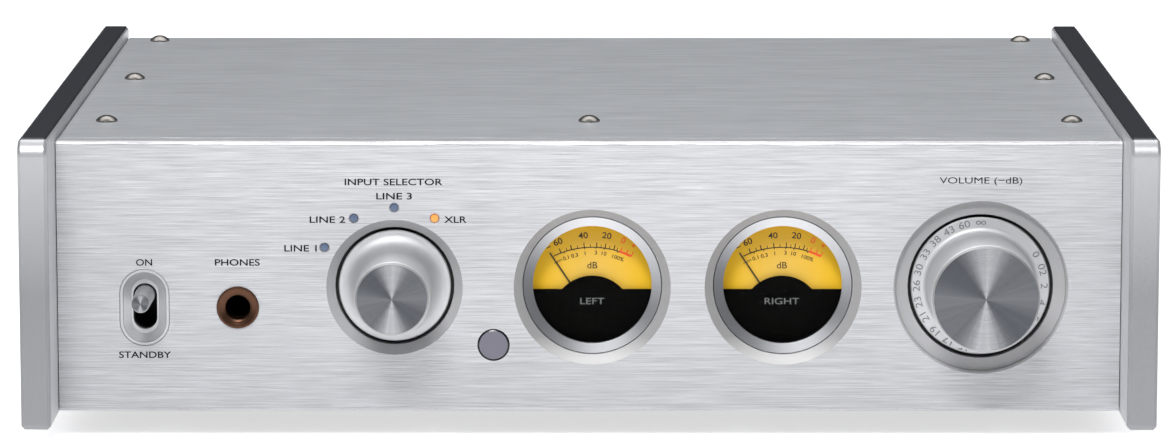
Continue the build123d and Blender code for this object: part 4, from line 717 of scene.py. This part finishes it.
# ---- rear sockets -------------------------------------------------------------------------------
# Moulded sockets and gold-plated metal: mains inlet, speaker posts, balanced and line sockets.
wear("mains_inlet", moulded("inlet_moulding", (0.016, 0.016, 0.017), roughness=0.4))
wear("inlet_pins", plated("nickel_pins", (0.72, 0.70, 0.64), 0.2))
wear("post_insulators", moulded("post_base_moulding", (0.016, 0.016, 0.017), roughness=0.35))
gold = plated("gold_plate", (0.86, 0.64, 0.30), 0.14)
wear("post_stems", gold)
wear("rca_barrels", gold)
for side in ("left", "right"):
    red_cap = moulded(f"red_cap_{side}", (0.42, 0.012, 0.012), roughness=0.2, Coat_Weight=0.5)
    wear(f"post_cap_{side}_plus", red_cap)
    black_cap = moulded(f"black_cap_{side}", (0.012, 0.012, 0.013), roughness=0.2, Coat_Weight=0.5)
    wear(f"post_cap_{side}_minus", black_cap)
    wear(f"xlr_latch_{side}", moulded(f"push_tab_{side}", (0.03, 0.03, 0.032), roughness=0.4))
wear("xlr_sockets", moulded("xlr_moulding", (0.016, 0.016, 0.017), roughness=0.42))
wear("xlr_inserts", moulded("xlr_pole_block", (0.02, 0.02, 0.021), roughness=0.5))
wear("rca_inserts_left", moulded("white_insert", (0.75, 0.75, 0.73), roughness=0.4))
wear("rca_inserts_right", moulded("red_insert", (0.55, 0.02, 0.02), roughness=0.4))

# ---- studio -------------------------------------------------------------------------------------
# A pale floor, a broad soft light overhead, a smaller one high in front, and a surround that is dim
# towards the floor and pale overhead.
bpy.ops.object.select_all(action="DESELECT")
floor_size = 12.0
bpy.ops.mesh.primitive_plane_add(size=floor_size)
floor = bpy.context.object
floor.name = "floor"
glow = {"Roughness": 0.7, "Emission Color": (1, 1, 1, 1), "Emission Strength": 0.64}
floor_finish = Finish("pale_floor", glow)
mottle = floor_finish.noise((40, 40, 40))
floor_finish.drive(Base_Color=floor_finish.colour(mottle, (0.86, 0.86, 0.865, 1), (0.90, 0.90, 0.905, 1)))
floor.data.materials.append(floor_finish.material)


def softbox(name, place, aim, width, height, watts, spread):
    """A soft rectangular light aimed at a point."""
    light = bpy.data.lights.new(name, "AREA")
    light.shape = "RECTANGLE"
    light.size = width
    light.size_y = height
    light.energy = watts
    light.spread = radians(spread)
    lamp = bpy.data.objects.new(name, light)
    bpy.context.collection.objects.link(lamp)
    lamp.location = place
    lamp.rotation_euler = (Vector(aim) - Vector(place)).to_track_quat("-Z", "Y").to_euler()
    return lamp


softbox("overhead", (0, 0.55, 1.5), (0, 0.5, 0), 2.2, 1.0, 7.5, spread=110)
softbox("key", (-0.14, -0.85, 0.85), (0.05, -0.12, 0.09), 0.46, 0.26, 1.45, spread=64)

world = bpy.data.worlds.new("surround")
bpy.context.scene.world = world
world.use_nodes = True
tree = world.node_tree
sky = tree.nodes.new("ShaderNodeTexCoord")
split = tree.nodes.new("ShaderNodeSeparateXYZ")
ramp = tree.nodes.new("ShaderNodeValToRGB")
ramp.color_ramp.elements[0].position = 0.28
ramp.color_ramp.elements[0].color = (0.035, 0.040, 0.052, 1.0)
ramp.color_ramp.elements[1].position = 0.75
ramp.color_ramp.elements[1].color = (0.95, 0.95, 0.95, 1.0)
tree.links.new(sky.outputs["Generated"], split.inputs[0])
tree.links.new(split.outputs[2], ramp.inputs[0])
tree.links.new(ramp.outputs[0], tree.nodes["Background"].inputs["Color"])
tree.nodes["Background"].inputs["Strength"].default_value = 0.4

camera = bpy.data.cameras.new("camera")
camera.lens = 168.5
camera.sensor_width = 36.0
camera.clip_start = 0.05
camera.clip_end = 30.0
camera_drop = 8.76
camera_turn = 0.1187
eye = bpy.data.objects.new("camera", camera)
bpy.context.collection.objects.link(eye)
eye.location = (0.00173, -1.5046, 0.27117)
eye.rotation_euler = (radians(90 - camera_drop), 0, radians(camera_turn))
bpy.context.scene.camera = eye
bpy.context.scene.view_settings.view_transform = "Standard"
